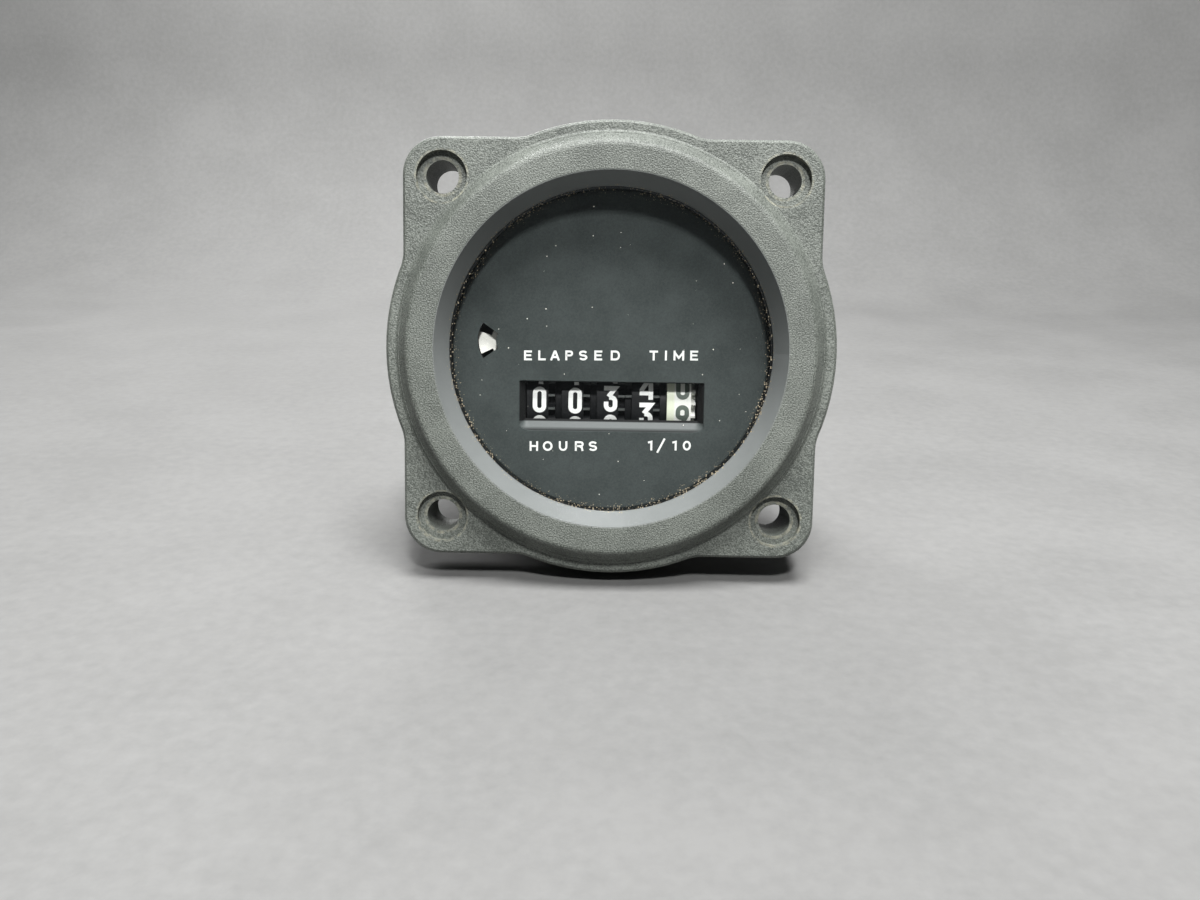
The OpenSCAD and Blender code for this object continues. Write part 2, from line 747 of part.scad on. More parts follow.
// A pinion's eight leaves mesh with the drum on its left. Every second one is cut short on the right,
// so that the long ones ride on the locking disc. The units pinion is half way through a carry.
module pinion(i) {
    pair_w = 2 * ring_w + drum_gap;
    carry = drum_shows[i + 1] == transfer_at ? 180 / pinion_teeth * 2 : 0;
    on_shaft(drum_left(i) + drum_rim_w, pinion_axis_y) difference() {
        translate([0, 0, 0.5 * drum_gap]) linear_extrude(pair_w - 0.5 * drum_gap)
            gear_outline(counter_module, pinion_teeth, 270);
        for (k = [0:2:pinion_teeth - 1]) {
            rotate(270 + carry + 360 * k / pinion_teeth)
                translate([pinion_root_r, -pinion_pitch_r / 2, ring_w + drum_gap / 2])
                    cube([pinion_pitch_r, pinion_pitch_r, ring_w + over]);
        }
        translate([0, 0, -over])
            cylinder(d = pinion_shaft_d + 2 * run_gap, h = pair_w + 2 * over, $fn = small_fn);
    }
}

module thousands_pinion() { color("#d9d6cc") pinion(0); }
module hundreds_pinion() { color("#d9d6cc") pinion(1); }
module tens_pinion() { color("#d9d6cc") pinion(2); }
module units_pinion() { color("#d9d6cc") pinion(3); }

// Drive: the cross shaft with its pinion at the tenths drum and its worm wheel at the worm
module drive_pinion() {
    front_x = drum_left(drum_count - 1) + tenths_rim_w + drum_gap;
    length = right_cheek_x - drum_gap - front_x;
    phase = meshed(0, ring_teeth, pinion_teeth, 90 + drive_dir);
    color("#d9d6cc") translate([front_x, cross_y, cross_z]) rotate([0, 90, 0]) difference() {
        linear_extrude(length) gear_outline(counter_module, pinion_teeth, phase);
        translate([0, 0, -over])
            cylinder(d = cross_shaft_d + 2 * press_gap, h = length + 2 * over, $fn = small_fn);
    }
}

module cross_shaft() {
    start_x = drum_left(drum_count - 1) + tenths_rim_w + drum_gap;
    color("#c9ccd0") translate([start_x, cross_y, cross_z]) rotate([0, 90, 0])
        cylinder(d = cross_shaft_d, h = outrigger_x + cheek_t - start_x, $fn = small_fn);
}

module worm_wheel() {
    hub_w = worm_wheel_w + 2 * (worm_wheel_gap - drum_gap);
    color("#d9d6cc") translate([worm_wheel_x, cross_y, cross_z]) rotate([0, 90, 0]) difference() {
        union() {
            linear_extrude(worm_wheel_w) gear_outline(worm_module, worm_wheel_teeth, 0);
            translate([0, 0, drum_gap - worm_wheel_gap]) cylinder(r = ear_r, h = hub_w, $fn = small_fn);
        }
        translate([0, 0, -worm_wheel_gap - over])
            cylinder(d = cross_shaft_d + 2 * press_gap, h = hub_w + 4 * over, $fn = small_fn);
    }
}

// Running indicator: a disc with four white blades behind the dial's opening
module indicator_wheel() {
    hub_end = indicator_y + 3 * indicator_t;
    color("#efefec") difference() {
        union() {
            for (k = [0:wheel_blades - 1]) {
                slab(indicator_y, indicator_y + indicator_t) translate(indicator_at)
                    polygon(concat([[0, 0]], arc(
                        blade_r,
                        blade_rest_angle + 360 * k / wheel_blades - blade_half_angle,
                        blade_rest_angle + 360 * k / wheel_blades + blade_half_angle,
                        6
                    )));
            }
            rod(indicator_at, indicator_y, indicator_y + indicator_t, 2 * hub_disc_r);
            rod(indicator_at, indicator_y, hub_end, 2.4 * indicator_arbor_d);
        }
        rod(indicator_at, indicator_y - over, hub_end + over, indicator_arbor_d + 2 * press_gap);
    }
}

module indicator_arbor() {
    color("#c9ccd0") rod(indicator_at, indicator_y, rear_plate_end, indicator_arbor_d);
}

module train_wheel(at, m, teeth, phase, level) {
    front = train_y + level * leaf_step + wheel_inset;
    slab(front, front + wheel_w) translate(at) gear_outline(m, teeth, phase);
}

module train_leaves(at, m, teeth, phase, level) {
    front = train_y + level * leaf_step + leaf_inset;
    slab(front, front + leaf_w) translate(at) gear_outline(m, teeth, phase);
}

// The pivots and the collars that keep an arbor between the plates
module train_arbor(at, front, end_gap = 0.1) {
    rod(at, front, rear_plate_end, pivot_d);
    rod(at, train_y + end_gap, rear_plate_y - end_gap, 2 * collar_r);
}

module indicator_gear() {
    color("#d9d6cc") difference() {
        union() {
            train_wheel(indicator_at, fast_module, indicator_teeth, indicator_phase, 0);
            rod(indicator_at, train_y + wheel_inset, train_y + leaf_step + wheel_w, 2.4 * indicator_arbor_d);
        }
        rod(indicator_at, train_y, train_y + 2 * leaf_step, indicator_arbor_d + 2 * press_gap);
    }
}

module first_wheel() {
    color("#d9d6cc") union() {
        train_wheel(first_at, fast_module, first_teeth, first_phase, 0);
        train_leaves(first_at, middle_module, first_leaves, first_leaf_phase, 1);
        train_arbor(first_at, plate_y);
    }
}

module second_wheel() {
    color("#d9d6cc") union() {
        train_wheel(second_at, middle_module, second_teeth, second_phase, 1);
        train_leaves(second_at, slow_module, second_leaves, second_leaf_phase, 2);
        train_arbor(second_at, plate_y);
    }
}

module third_wheel() {
    color("#d9d6cc") difference() {
        union() {
            train_wheel(third_at, slow_module, third_teeth, third_phase, 2);
            rod(third_at, train_y + leaf_step, rear_plate_y - leaf_inset, 2 * worm_arbor_d);
        }
        rod(third_at, train_y, rear_plate_y + over, worm_arbor_d + 2 * press_gap);
    }
}

// Worm: a single right-hand thread, its groove over the wheel's top tooth. A turn of its outline runs
// from the crest down the flank to the foot.
function flank(share) = (share - worm_crest_share) / (worm_foot_share - worm_crest_share);
function worm_radius(share) = worm_tip_r + (worm_root_r - worm_tip_r) * max(0, min(1, flank(share)));

module worm() {
    twist = -360 * worm_len / worm_lead;
    color("#c8a24a") difference() {
        translate([worm_x, cross_y - worm_len / 2, worm_z]) rotate([-90, 0, 0])
            linear_extrude(worm_len, twist = twist, slices = worm_slices)
                rotate(twist / 2 - 90) polygon([
                    for (i = [0:worm_steps - 1])
                        let (a = 360 * i / worm_steps, share = (a > 180 ? 360 - a : a) / 180)
                            worm_radius(share) * unit(a)
                ]);
        rod(third_at, arm_y, plate_y, worm_arbor_d + 2 * press_gap);
    }
}

module worm_arbor() {
    color("#c9ccd0") rod(third_at, arm_y, rear_plate_end, worm_arbor_d);
}

// Motor: a magnet on the rotor's arbor, turning in the hole of the stator
module rotor_arbor() {
    color("#c9ccd0") union() {
        train_leaves(rotor_at, fast_module, rotor_leaves, rotor_phase, 0);
        rod(rotor_at, stator_y - 0.5 * magnet_t, train_y + leaf_inset, 2 * collar_r);
        train_arbor(rotor_at, train_y);
    }
}

module rotor_magnet() {
    front = coil_y - magnet_t / 2;
    color("#3a3b3d") difference() {
        rod(rotor_at, front, front + magnet_t, magnet_d);
        rod(rotor_at, front - over, front + magnet_t + over, 2 * collar_r + 2 * press_gap);
    }
}

// The stator's outline: left leg, core and slanting right leg round an open window
module stator() {
    slope = (shoulder_z - stator_bottom_z) / (stator_half_w - pole_right_x);
    inner_dx = leg_w * sqrt(1 + 1 / slope / slope);
    inner_foot_x = pole_right_x - inner_dx + (window_bottom_z - stator_bottom_z) / slope;
    inner_leg_x = stator_half_w - leg_w;
    inner_leg_z = stator_bottom_z + slope * (inner_leg_x - pole_right_x + inner_dx);
    color("#8d9196") difference() {
        slab(stator_y, stator_y + stator_t) difference() {
            polygon([
                [stator_left_x, stator_bottom_z], [pole_right_x, stator_bottom_z],
                [stator_half_w, shoulder_z], [stator_half_w, stator_top_z], [stator_left_x, stator_top_z]
            ]);
            polygon([
                [stator_left_x + leg_w, window_bottom_z], [inner_foot_x, window_bottom_z],
                [inner_leg_x, inner_leg_z], [inner_leg_x, window_top_z],
                [stator_left_x + leg_w, window_top_z]
            ]);
        }
        rod(rotor_at, stator_y - over, stator_y + stator_t + over, 2 * pole_r);
        for (p = stator_screw_places) {
            rod(p, stator_y - over, stator_y + stator_t + over, post_bore_d + 2 * screw_gap);
        }
    }
}

module along_coil(x, d, length) {
    translate([x, coil_y, core_z]) rotate([0, 90, 0]) cylinder(d = d, h = length, $fn = small_fn);
}

module coil_bobbin() {
    color("#2c4a35") difference() {
        union() {
            along_coil(-bobbin_len / 2, bobbin_tube_d, bobbin_len);
            along_coil(-bobbin_len / 2, bobbin_d, bobbin_flange_t);
            along_coil(bobbin_len / 2 - bobbin_flange_t, bobbin_d, bobbin_flange_t);
            translate([lead_x - lead_block / 2, coil_y + lead_block / 2, lead_z - lead_block])
                cube([bobbin_flange_t + lead_block / 2, 1.2 * lead_block, 1.6 * lead_block]);
        }
        translate([-bobbin_len / 2 - over, stator_y - press_gap, window_top_z - press_gap])
            cube([bobbin_len + 2 * over, stator_t + 2 * press_gap, core_h + 2 * press_gap]);
    }
}

module coil_winding() {
    inner = lead_x - press_gap;
    color("#8a4a24") difference() {
        along_coil(-inner, winding_d, 2 * inner);
        along_coil(-inner - over, bobbin_tube_d + 2 * press_gap, 2 * inner + 2 * over);
        translate([lead_x - lead_block / 2 - press_gap, coil_y + lead_block / 2 - press_gap, core_z])
            cube([lead_block, lead_block, bobbin_d]);
    }
}

// The two insulated wires from the coil to the circuit board
module coil_leads() {
    color("#a03028") for (s = [0, 1]) {
        rod([lead_x, lead_z - s * lead_drop], coil_y + 1.7 * lead_block, board_y, lead_d);
    }
}

// Circuit board and the parts on its front
module circuit_board() {
    color("#2f5d3a") difference() {
        rod([0, 0], board_y, board_y + board_t, 2 * rear_plate_r, curve_fn);
        slab(board_y - over, board_y + board_t + over)
            boss_places() circle(r = boss_notch_r, $fn = small_fn);
        at_terminals() slab(board_y - over, board_y + board_t + over)
            square([tail_w + 2 * blade_gap, blade_t + 2 * blade_gap], center = true);
    }
}

// A wire-ended part that lies across the board, its two legs bent to the board
module axial_part(share, d, length) {
    at = share * main_plate_r;
    y = board_y - part_gap - d / 2;
    translate([at[0] - length / 2, y, at[1]]) rotate([0, 90, 0]) cylinder(d = d, h = length, $fn = small_fn);
    translate([at[0] - length / 2 - wire_reach, y, at[1]]) rotate([0, 90, 0])
        cylinder(d = wire_d, h = length + 2 * wire_reach, $fn = small_fn);
    for (s = [-1, 1]) {
        rod(at + [s * (length / 2 + wire_reach - wire_d / 2), 0], y, board_y, wire_d);
    }
}

module chip() {
    at = chip_share * main_plate_r;
    color("#1e1f21") translate([at[0] - chip_size[0] / 2, board_y - chip_size[1], at[1] - chip_size[2] / 2])
        cube(chip_size);
}

module crystal() { color("#c9ccd0") axial_part(crystal_share, crystal_d, crystal_len); }
module capacitor() { color("#2a3f7a") axial_part(capacitor_share, capacitor_d, capacitor_len); }
module resistor() { color("#c7b08a") axial_part(resistor_share, resistor_d, resistor_len); }
module diode() { color("#2a2a2c") axial_part(diode_share, diode_d, diode_len); }

// Terminal: a spade blade with a shoulder inside the case and a tail through the board
module terminal(x) {
    end_y = case_depth + blade_len;
    color("#b8b2a0") difference() {
        translate([x, 0, terminal_z - blade_t / 2]) linear_extrude(blade_t) polygon([
            [-tail_w / 2, board_y - tail_len], [tail_w / 2, board_y - tail_len],
            [tail_w / 2, rear_inner_y - shoulder_t], [shoulder_w / 2, rear_inner_y - shoulder_t],
            [shoulder_w / 2, rear_inner_y], [blade_w / 2, rear_inner_y],
            [blade_w / 2, end_y - blade_point], [blade_w / 2 - blade_point, end_y],
            [-blade_w / 2 + blade_point, end_y], [-blade_w / 2, end_y - blade_point],
            [-blade_w / 2, rear_inner_y], [-shoulder_w / 2, rear_inner_y],
            [-shoulder_w / 2, rear_inner_y - shoulder_t], [-tail_w / 2, rear_inner_y - shoulder_t]
        ]);
        translate([x, end_y - blade_w / 2, terminal_z - blade_t])
            cylinder(d = blade_hole_d, h = 2 * blade_t, $fn = small_fn);
    }
}

module left_terminal() { terminal(-terminal_x); }
module right_terminal() { terminal(terminal_x); }

bezel();
lens();
lens_gasket();
dial();
case();
movement_frame();
rear_plate();
movement_screws();
rear_plate_screws();
drum_shaft();
thousands_drum();
hundreds_drum();
tens_drum();
units_drum();
tenths_drum();
pinion_shaft();
thousands_pinion();
hundreds_pinion();
tens_pinion();
units_pinion();
indicator_wheel();
indicator_arbor();
indicator_gear();
drive_pinion();
cross_shaft();
worm_wheel();
worm();
worm_arbor();
third_wheel();
second_wheel();
first_wheel();
rotor_arbor();
rotor_magnet();
stator();
stator_screws();
coil_bobbin();
coil_winding();
coil_leads();
circuit_board();
chip();
crystal();
capacitor();
resistor();
diode();
left_terminal();
right_terminal();
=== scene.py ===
# %% [markdown]
# # A panel hour meter
# The real thing is a square moulded flange with a round raised rim. Behind a flat lens, a black dial
# shows five number drums through a slot and a small white wheel that turns while the meter runs.
# The solids come from the CAD frame. This file adds the dial's pressed window, the printing, the dirt,
# the finishes, the light and the camera. All lengths are in millimetres until they reach a mesh, where
# they become metres. Blender's starting cube, light and camera are taken away first.

# %% Load the frame
import json
import math
import bmesh
import bpy
import numpy as np
from mathutils import Matrix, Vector
from mathutils.geometry import tessellate_polygon

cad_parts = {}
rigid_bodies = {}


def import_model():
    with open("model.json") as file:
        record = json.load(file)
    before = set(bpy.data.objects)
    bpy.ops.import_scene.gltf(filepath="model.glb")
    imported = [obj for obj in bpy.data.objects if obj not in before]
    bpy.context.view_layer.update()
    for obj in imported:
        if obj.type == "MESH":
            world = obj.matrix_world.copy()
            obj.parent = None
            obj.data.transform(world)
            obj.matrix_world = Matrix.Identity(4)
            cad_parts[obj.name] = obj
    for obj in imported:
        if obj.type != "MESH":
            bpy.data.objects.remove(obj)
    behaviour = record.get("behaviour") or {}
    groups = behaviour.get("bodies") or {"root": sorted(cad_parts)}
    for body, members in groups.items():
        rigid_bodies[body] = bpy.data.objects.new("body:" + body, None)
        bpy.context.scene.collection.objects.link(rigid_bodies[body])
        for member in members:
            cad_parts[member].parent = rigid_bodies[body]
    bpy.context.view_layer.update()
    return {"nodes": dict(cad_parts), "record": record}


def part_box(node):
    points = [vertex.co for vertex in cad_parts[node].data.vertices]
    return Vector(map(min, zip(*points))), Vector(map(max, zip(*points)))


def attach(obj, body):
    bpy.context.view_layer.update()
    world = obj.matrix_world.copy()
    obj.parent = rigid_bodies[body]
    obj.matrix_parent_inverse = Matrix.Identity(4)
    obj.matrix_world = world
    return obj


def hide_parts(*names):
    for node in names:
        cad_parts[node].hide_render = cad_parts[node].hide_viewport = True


for leftover in list(bpy.data.objects):
    bpy.data.objects.remove(leftover, do_unlink=True)
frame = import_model()
MM = 0.001

# %% [markdown]
# ## Places
# The printing sits on pieces of the frame, so its places come from the frame's own boxes. A drum's
# axis is at the middle of its box, and its radius is half of the box's height.

# %% Places read from the frame
DRUMS = ["thousands_drum", "hundreds_drum", "tens_drum", "units_drum", "tenths_drum"]


def node_box(name):
    low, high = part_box(name)
    return np.array(low) / MM, np.array(high) / MM


drum_low, drum_high = node_box("tenths_drum")
drum_axis = (drum_low + drum_high) / 2
drum_r = (drum_high[2] - drum_low[2]) / 2
dial_front = node_box("dial")[0][1]
case_r = node_box("case")[1][0]
print("drum axis y, z:", drum_axis[1:].round(3), "drum radius:", round(drum_r, 3))
print("dial front y:", round(dial_front, 3), "case radius:", round(case_r, 2))

# %% [markdown]
# ## Camera
# The four screw holes are 47.14 mm apart, and their places in the photograph give the camera: 150 mm in
# front of the meter, looking down by six degrees, with a wide lens. A camera could also be aimed by a
# constraint, but a matrix from three angles keeps the small roll that the photograph has.

# %% Camera from three angles
SENSOR = 36.0
FOCAL_SHARE = 1003.54 / 1200
yaw, pitch, roll = (math.radians(a) for a in (-0.5835, -6.2168, 0.8519))
eye = np.array([0.110, -150.089, 1.466])


def camera_axes(yaw, pitch, roll):
    """Right, up and forward: forward = (sin yaw cos pitch, cos yaw cos pitch, sin pitch), then a roll."""
    forward = np.array([math.sin(yaw) * math.cos(pitch), math.cos(yaw) * math.cos(pitch), math.sin(pitch)])
    right = np.cross(forward, [0, 0, 1])
    right /= np.linalg.norm(right)
    up = np.cross(right, forward)
    turned_right = right * math.cos(roll) + up * math.sin(roll)
    turned_up = up * math.cos(roll) - right * math.sin(roll)
    return turned_right, turned_up, forward


right, up, forward = camera_axes(yaw, pitch, roll)
camera_data = bpy.data.cameras.new("camera")
camera_data.sensor_width = SENSOR
camera_data.lens = SENSOR * FOCAL_SHARE
camera_data.clip_start = 0.01
camera = bpy.data.objects.new("camera", camera_data)
placed = np.eye(4)
placed[:3, 0], placed[:3, 1], placed[:3, 2], placed[:3, 3] = right, up, -forward, eye * MM
camera.matrix_world = Matrix(placed.tolist())
bpy.context.collection.objects.link(camera)
bpy.context.scene.camera = camera
print("lens mm:", round(camera_data.lens, 2))

# %% [markdown]
# ## Small helpers
# A mesh is made from whole numpy arrays. A material's colours are written as the sRGB hex values that a
# colour picker shows, and one function turns them to the linear values that the shader needs. Each kind
# of shader node could have its own helper, but one helper for all of them keeps Blender's own names in
# view and still writes a node and its links on one line.


# %% Mesh, colour and node helpers
def mesh_piece(name, verts, faces, smooth=False):
    """A mesh object at the origin: its vertices are in millimetres, turned to metres once here."""
    mesh = bpy.data.meshes.new(name)
    mesh.from_pydata((np.asarray(verts) * MM).tolist(), [], faces)
    mesh.validate()
    mesh.polygons.foreach_set("use_smooth", [smooth] * len(mesh.polygons))
    piece = bpy.data.objects.new(name, mesh)
    bpy.context.collection.objects.link(piece)
    return piece


def linear(code, alpha=1.0):
    """sRGB hex to linear: c / 12.92 where c <= 0.04045, else ((c + 0.055) / 1.055) ** 2.4."""
    c = np.array([int(code[i:i + 2], 16) / 255 for i in (1, 3, 5)])
    value = np.where(c <= 0.04045, c / 12.92, ((c + 0.055) / 1.055) ** 2.4)
    return (*value.tolist(), alpha)


def add(tree, kind, *values, out=0, **named):
    """Adds one node and gives its output out. Small-letter names are the node's settings, values go to its
    open inputs in order, and Capital names go to the inputs of that name: an output is linked, the rest set."""
    node = tree.nodes.new("ShaderNode" + kind)
    for key in [key for key in named if key[0].islower()]:
        setattr(node, key, named.pop(key))
    open_inputs = [socket for socket in node.inputs if socket.enabled]
    named_inputs = [(node.inputs[key.replace("_", " ")], value) for key, value in named.items()]
    for socket, value in list(zip(open_inputs, values)) + named_inputs:
        if isinstance(value, bpy.types.NodeSocket):
            tree.links.new(value, socket)
        else:
            socket.default_value = value
    open_outputs = [socket for socket in node.outputs if socket.enabled]
    return node.outputs[out] if isinstance(out, str) else open_outputs[out] if open_outputs else None


def new_material(name):
    """An empty node material and its tree."""
    material = bpy.data.materials.new(name)
    material.use_nodes = True
    material.node_tree.nodes.clear()
    return material, material.node_tree


def per_mm(size):
    """A pattern's scale, in repeats per metre, that makes its features about size millimetres: 1000 / size."""
    return 1000.0 / size


# %% [markdown]
# ## Bezel plastic
# The flange and the rim are one moulding of glass-filled phenolic or nylon, from a mould whose faces
# were blasted. That leaves pits about a fifth of a millimetre across, which catch the light as fine pale
# grains. The sight ring that slopes in to the lens was polished in the mould: it has no pits, shines a
# little, and looks paler where it faces the light. The pits could be real geometry, but a bump from
# noise gives the same grain at this distance. The distance from the meter's axis tells the two finishes
# apart. Tan dust lies in the corner between the sight ring and the lens. A broken ring of paler yellowish
# grey is drawn round each screw hole and each counterbore. HOLE_EDGE and
# COUNTERBORE_EDGE give such a ring's radius and half its width.

# %% Bezel plastic
BEZEL_DARK, BEZEL_LIGHT = "#3d413c", "#666a64"
SIGHT_DARK, SIGHT_LIGHT = "#5c5f5e", "#6b6e6d"
DUST = "#9c8b6b"
SIGHT_R = 24.25
LENS_EDGE_R = 22.6
HOLE_AT = 23.57
HOLE_EDGE, COUNTERBORE_EDGE = (2.5, 0.22), (3.62, 0.14)
# A paler yellowish grey, drawn in broken rings round the screw holes and the counterbores.
HOLE_RING_TONE = "#838171"
PIT_MM, PIT_DEPTH = 0.2, 0.12


def bezel_plastic():
    """Blasted grey moulding: grain outside the sight ring, a smooth sight ring, dust where the lens begins."""
    material, tree = new_material("blasted_bezel_plastic")
    place = add(tree, "TexCoord", out="Object")
    flat = add(tree, "VectorMath", place, (1000.0, 0.0, 1000.0), operation="MULTIPLY")
    radius = add(tree, "VectorMath", flat, operation="LENGTH", out="Value")
    on_rim = add(tree, "MapRange", radius, SIGHT_R - 0.1, SIGHT_R + 0.15, 0.0, 1.0)
    grain = add(tree, "TexNoise", place, Scale=per_mm(PIT_MM), Detail=1.5, Roughness=0.6)
    patches = add(tree, "TexNoise", place, Scale=per_mm(7.0), Detail=4.0, Roughness=0.65)
    weighed = add(tree, "Math", patches, 0.3, operation="MULTIPLY")
    tone = add(tree, "Math", grain, 0.7, weighed, operation="MULTIPLY_ADD")
    spread = add(tree, "MapRange", tone, 0.4, 0.6, 0.0, 1.0)
    grained = add(tree, "Mix", spread, linear(BEZEL_DARK), linear(BEZEL_LIGHT), data_type="RGBA")
    smooth = add(tree, "Mix", patches, linear(SIGHT_DARK), linear(SIGHT_LIGHT), data_type="RGBA")
    clean = add(tree, "Mix", on_rim, smooth, grained, data_type="RGBA")
    folded = add(tree, "VectorMath", flat, operation="ABSOLUTE")
    from_hole = add(tree, "VectorMath", folded, (HOLE_AT, 0.0, HOLE_AT), operation="SUBTRACT")
    hole_radius = add(tree, "VectorMath", from_hole, operation="LENGTH", out="Value")
    by_hole = add(tree, "Math", hole_radius, *HOLE_EDGE, operation="COMPARE")
    by_counterbore = add(tree, "Math", hole_radius, *COUNTERBORE_EDGE, operation="COMPARE")
    rings = add(tree, "Math", by_hole, by_counterbore, operation="MAXIMUM")
    breaks = add(tree, "TexNoise", place, Scale=per_mm(0.9), Detail=3.0, Roughness=0.6)
    ring_share = add(tree, "MapRange", breaks, 0.4, 0.65, 0.0, 0.65)
    ringed = add(tree, "Math", rings, ring_share, operation="MULTIPLY")
    plastic = add(tree, "Mix", ringed, clean, linear(HOLE_RING_TONE), data_type="RGBA")
    cells = add(tree, "TexVoronoi", place, Scale=per_mm(0.32), out="Distance")
    chance = add(tree, "SeparateColor", cells.node.outputs["Color"])
    by_lens = add(tree, "MapRange", radius, LENS_EDGE_R + 0.5, LENS_EDGE_R, 0.0, 0.42)
    reach = add(tree, "MapRange", chance, 0.45, 1.0, 0.0, by_lens)
    dust = add(tree, "Math", cells, reach, operation="LESS_THAN")
    colour = add(tree, "Mix", dust, plastic, linear(DUST), data_type="RGBA")
    rough = add(tree, "MapRange", on_rim, 0.0, 1.0, 0.34, 0.55)
    height = add(tree, "Math", grain, on_rim, operation="MULTIPLY")
    pits = add(tree, "Bump", Strength=1.0, Distance=PIT_DEPTH * MM, Height=height)
    shader = add(tree, "BsdfPrincipled", Base_Color=colour, Roughness=rough, IOR=1.5, Normal=pits)
    add(tree, "OutputMaterial", shader)
    return material


# %% [markdown]
# ## Lens
# A flat disc of clear glass. So the clear part is a mirror seen at three percent, close to the four that
# a pane's surface gives back, and lets the rest through. Old lenses carry dust: a few pale specks all
# over, drawn from voronoi cells, and tan grains packed close to the edge, where a cloth doesn't reach.
# The seam between the pane and the sight ring shows as a thin dark line, so the glass turns dark and
# nearly closed in its last 0.4 mm.

# %% Lens glass
CLEAR = 0.03
SEAM_START, SEAM_END = LENS_EDGE_R - 0.4, LENS_EDGE_R - 0.1
PANE, SEAM = "#f4f8f9", "#14130f"
SPECK, EDGE_DUST = "#d9d6cc", "#958a74"


def lens_glass():
    """Clear glass that mirrors a little, with pale specks, and tan grains on a dark seam at its edge."""
    material, tree = new_material("dusty_lens_glass")
    place = add(tree, "TexCoord", out="Object")
    flat = add(tree, "VectorMath", place, (1000.0, 0.0, 1000.0), operation="MULTIPLY")
    radius = add(tree, "VectorMath", flat, operation="LENGTH", out="Value")
    cells = add(tree, "TexVoronoi", place, Scale=per_mm(1.3), out="Distance")
    chance = add(tree, "SeparateColor", cells.node.outputs["Color"])
    reach = add(tree, "MapRange", chance, 0.6, 1.0, 0.0, 0.07)
    speck = add(tree, "Math", cells, reach, operation="LESS_THAN")
    fine_cells = add(tree, "TexVoronoi", place, Scale=per_mm(0.27), out="Distance")
    fine_chance = add(tree, "SeparateColor", fine_cells.node.outputs["Color"])
    drifts = add(tree, "TexNoise", place, Scale=per_mm(9.0), Detail=2.0)
    most = add(tree, "MapRange", drifts, 0.35, 0.65, 0.35, 0.65)
    by_edge = add(tree, "MapRange", radius, LENS_EDGE_R - 1.5, LENS_EDGE_R, 0.0, most)
    fine_reach = add(tree, "MapRange", fine_chance, 0.25, 1.0, 0.0, by_edge)
    grain = add(tree, "Math", fine_cells, fine_reach, operation="LESS_THAN")
    dust = add(tree, "Math", speck, grain, operation="MAXIMUM")
    seam = add(tree, "MapRange", radius, SEAM_START, SEAM_END, 0.0, 0.8)
    dust_seen = add(tree, "MapRange", dust, 0.0, 1.0, CLEAR, 0.8)
    seen = add(tree, "Math", dust_seen, seam, operation="MAXIMUM")
    dusty = add(tree, "Mix", grain, linear(SPECK), linear(EDGE_DUST), data_type="RGBA")
    glass = add(tree, "Mix", seam, linear(PANE), linear(SEAM), data_type="RGBA")
    colour = add(tree, "Mix", dust, glass, dusty, data_type="RGBA")
    mirror = add(tree, "MapRange", dust, 0.0, 1.0, 1.0, 0.0)
    rough = add(tree, "MapRange", dust, 0.0, 1.0, 0.06, 0.8)
    shader = add(tree, "BsdfPrincipled", Base_Color=colour, Metallic=mirror, Roughness=rough, Alpha=seen)
    add(tree, "OutputMaterial", shader)
    return material


# %% [markdown]
# ## Paints and plastics of the dial and the drums
# The dial is sheet metal under matt black paint, with its window pressed through. The openings' walls are
# coloured near black as painted shade, and the window's sill a shinier, lighter grey as a painted highlight,
# which fades back to black at its foot as painted shade. The highlight starts a little below the sill's rear
# edge, which leaves a black strip of painted shade over it. The letters are screen-printed with thick white
# ink.
# The drums are moulded black plastic with hot-stamped white figures. The tenths drum's rim and its
# driving teeth are white with grey figures, so that it can't be read as whole hours. Left of its rim
# the drum is coloured black as painted shade.

# %% Plastics and paints with a fine grain
# Painted shade: the openings' walls, from this far behind the dial's front, are coloured near black.
WALL = (0.02, 0.16)
# Painted highlight on the sill between these heights, fading back to black below as painted shade.
SILL_HIGHLIGHT_EDGE, SILL_HIGHLIGHT_FOOT = (-10.1, -10.25), (-11.4, -10.95)
TENTHS_BAND, TENTHS_RIM = (9.15, 9.45), (8.2, 8.26)
# Painted highlight on the drums' tooth tips: its radius and half its width.
TOOTH_TIP_HIGHLIGHT = (6.16, 0.03)


def in_metres(span):
    """Two places in millimetres as metres: span * 0.001."""
    return [value * MM for value in span]


def fine_surface(name, dark, light, rough, grain_mm, depth_mm, gloss=0.5, metal=0.0):
    """A colour that wanders between two tones: half by its grain, half by patches 14 times as large."""
    material, tree = new_material(name)
    place = add(tree, "TexCoord", out="Object")
    grain = add(tree, "TexNoise", place, Scale=per_mm(grain_mm), Detail=3.0, Roughness=0.6)
    patches = add(tree, "TexNoise", place, Scale=per_mm(grain_mm * 14), Detail=2.0, Roughness=0.5)
    both = add(tree, "Math", grain, patches, operation="ADD")
    spread = add(tree, "MapRange", both, 0.7, 1.3, 0.0, 1.0)
    colour = add(tree, "Mix", spread, linear(dark), linear(light), data_type="RGBA")
    wear = add(tree, "MapRange", patches, 0.3, 0.7, rough - 0.06, rough + 0.06)
    relief = add(tree, "Bump", Strength=0.6, Distance=depth_mm * MM, Height=grain)
    shader = add(tree, "BsdfPrincipled", Base_Color=colour, Roughness=wear, Metallic=metal, Normal=relief)
    if metal == 0.0:
        shader.node.inputs["Specular IOR Level"].default_value = gloss
    add(tree, "OutputMaterial", shader)
    return material


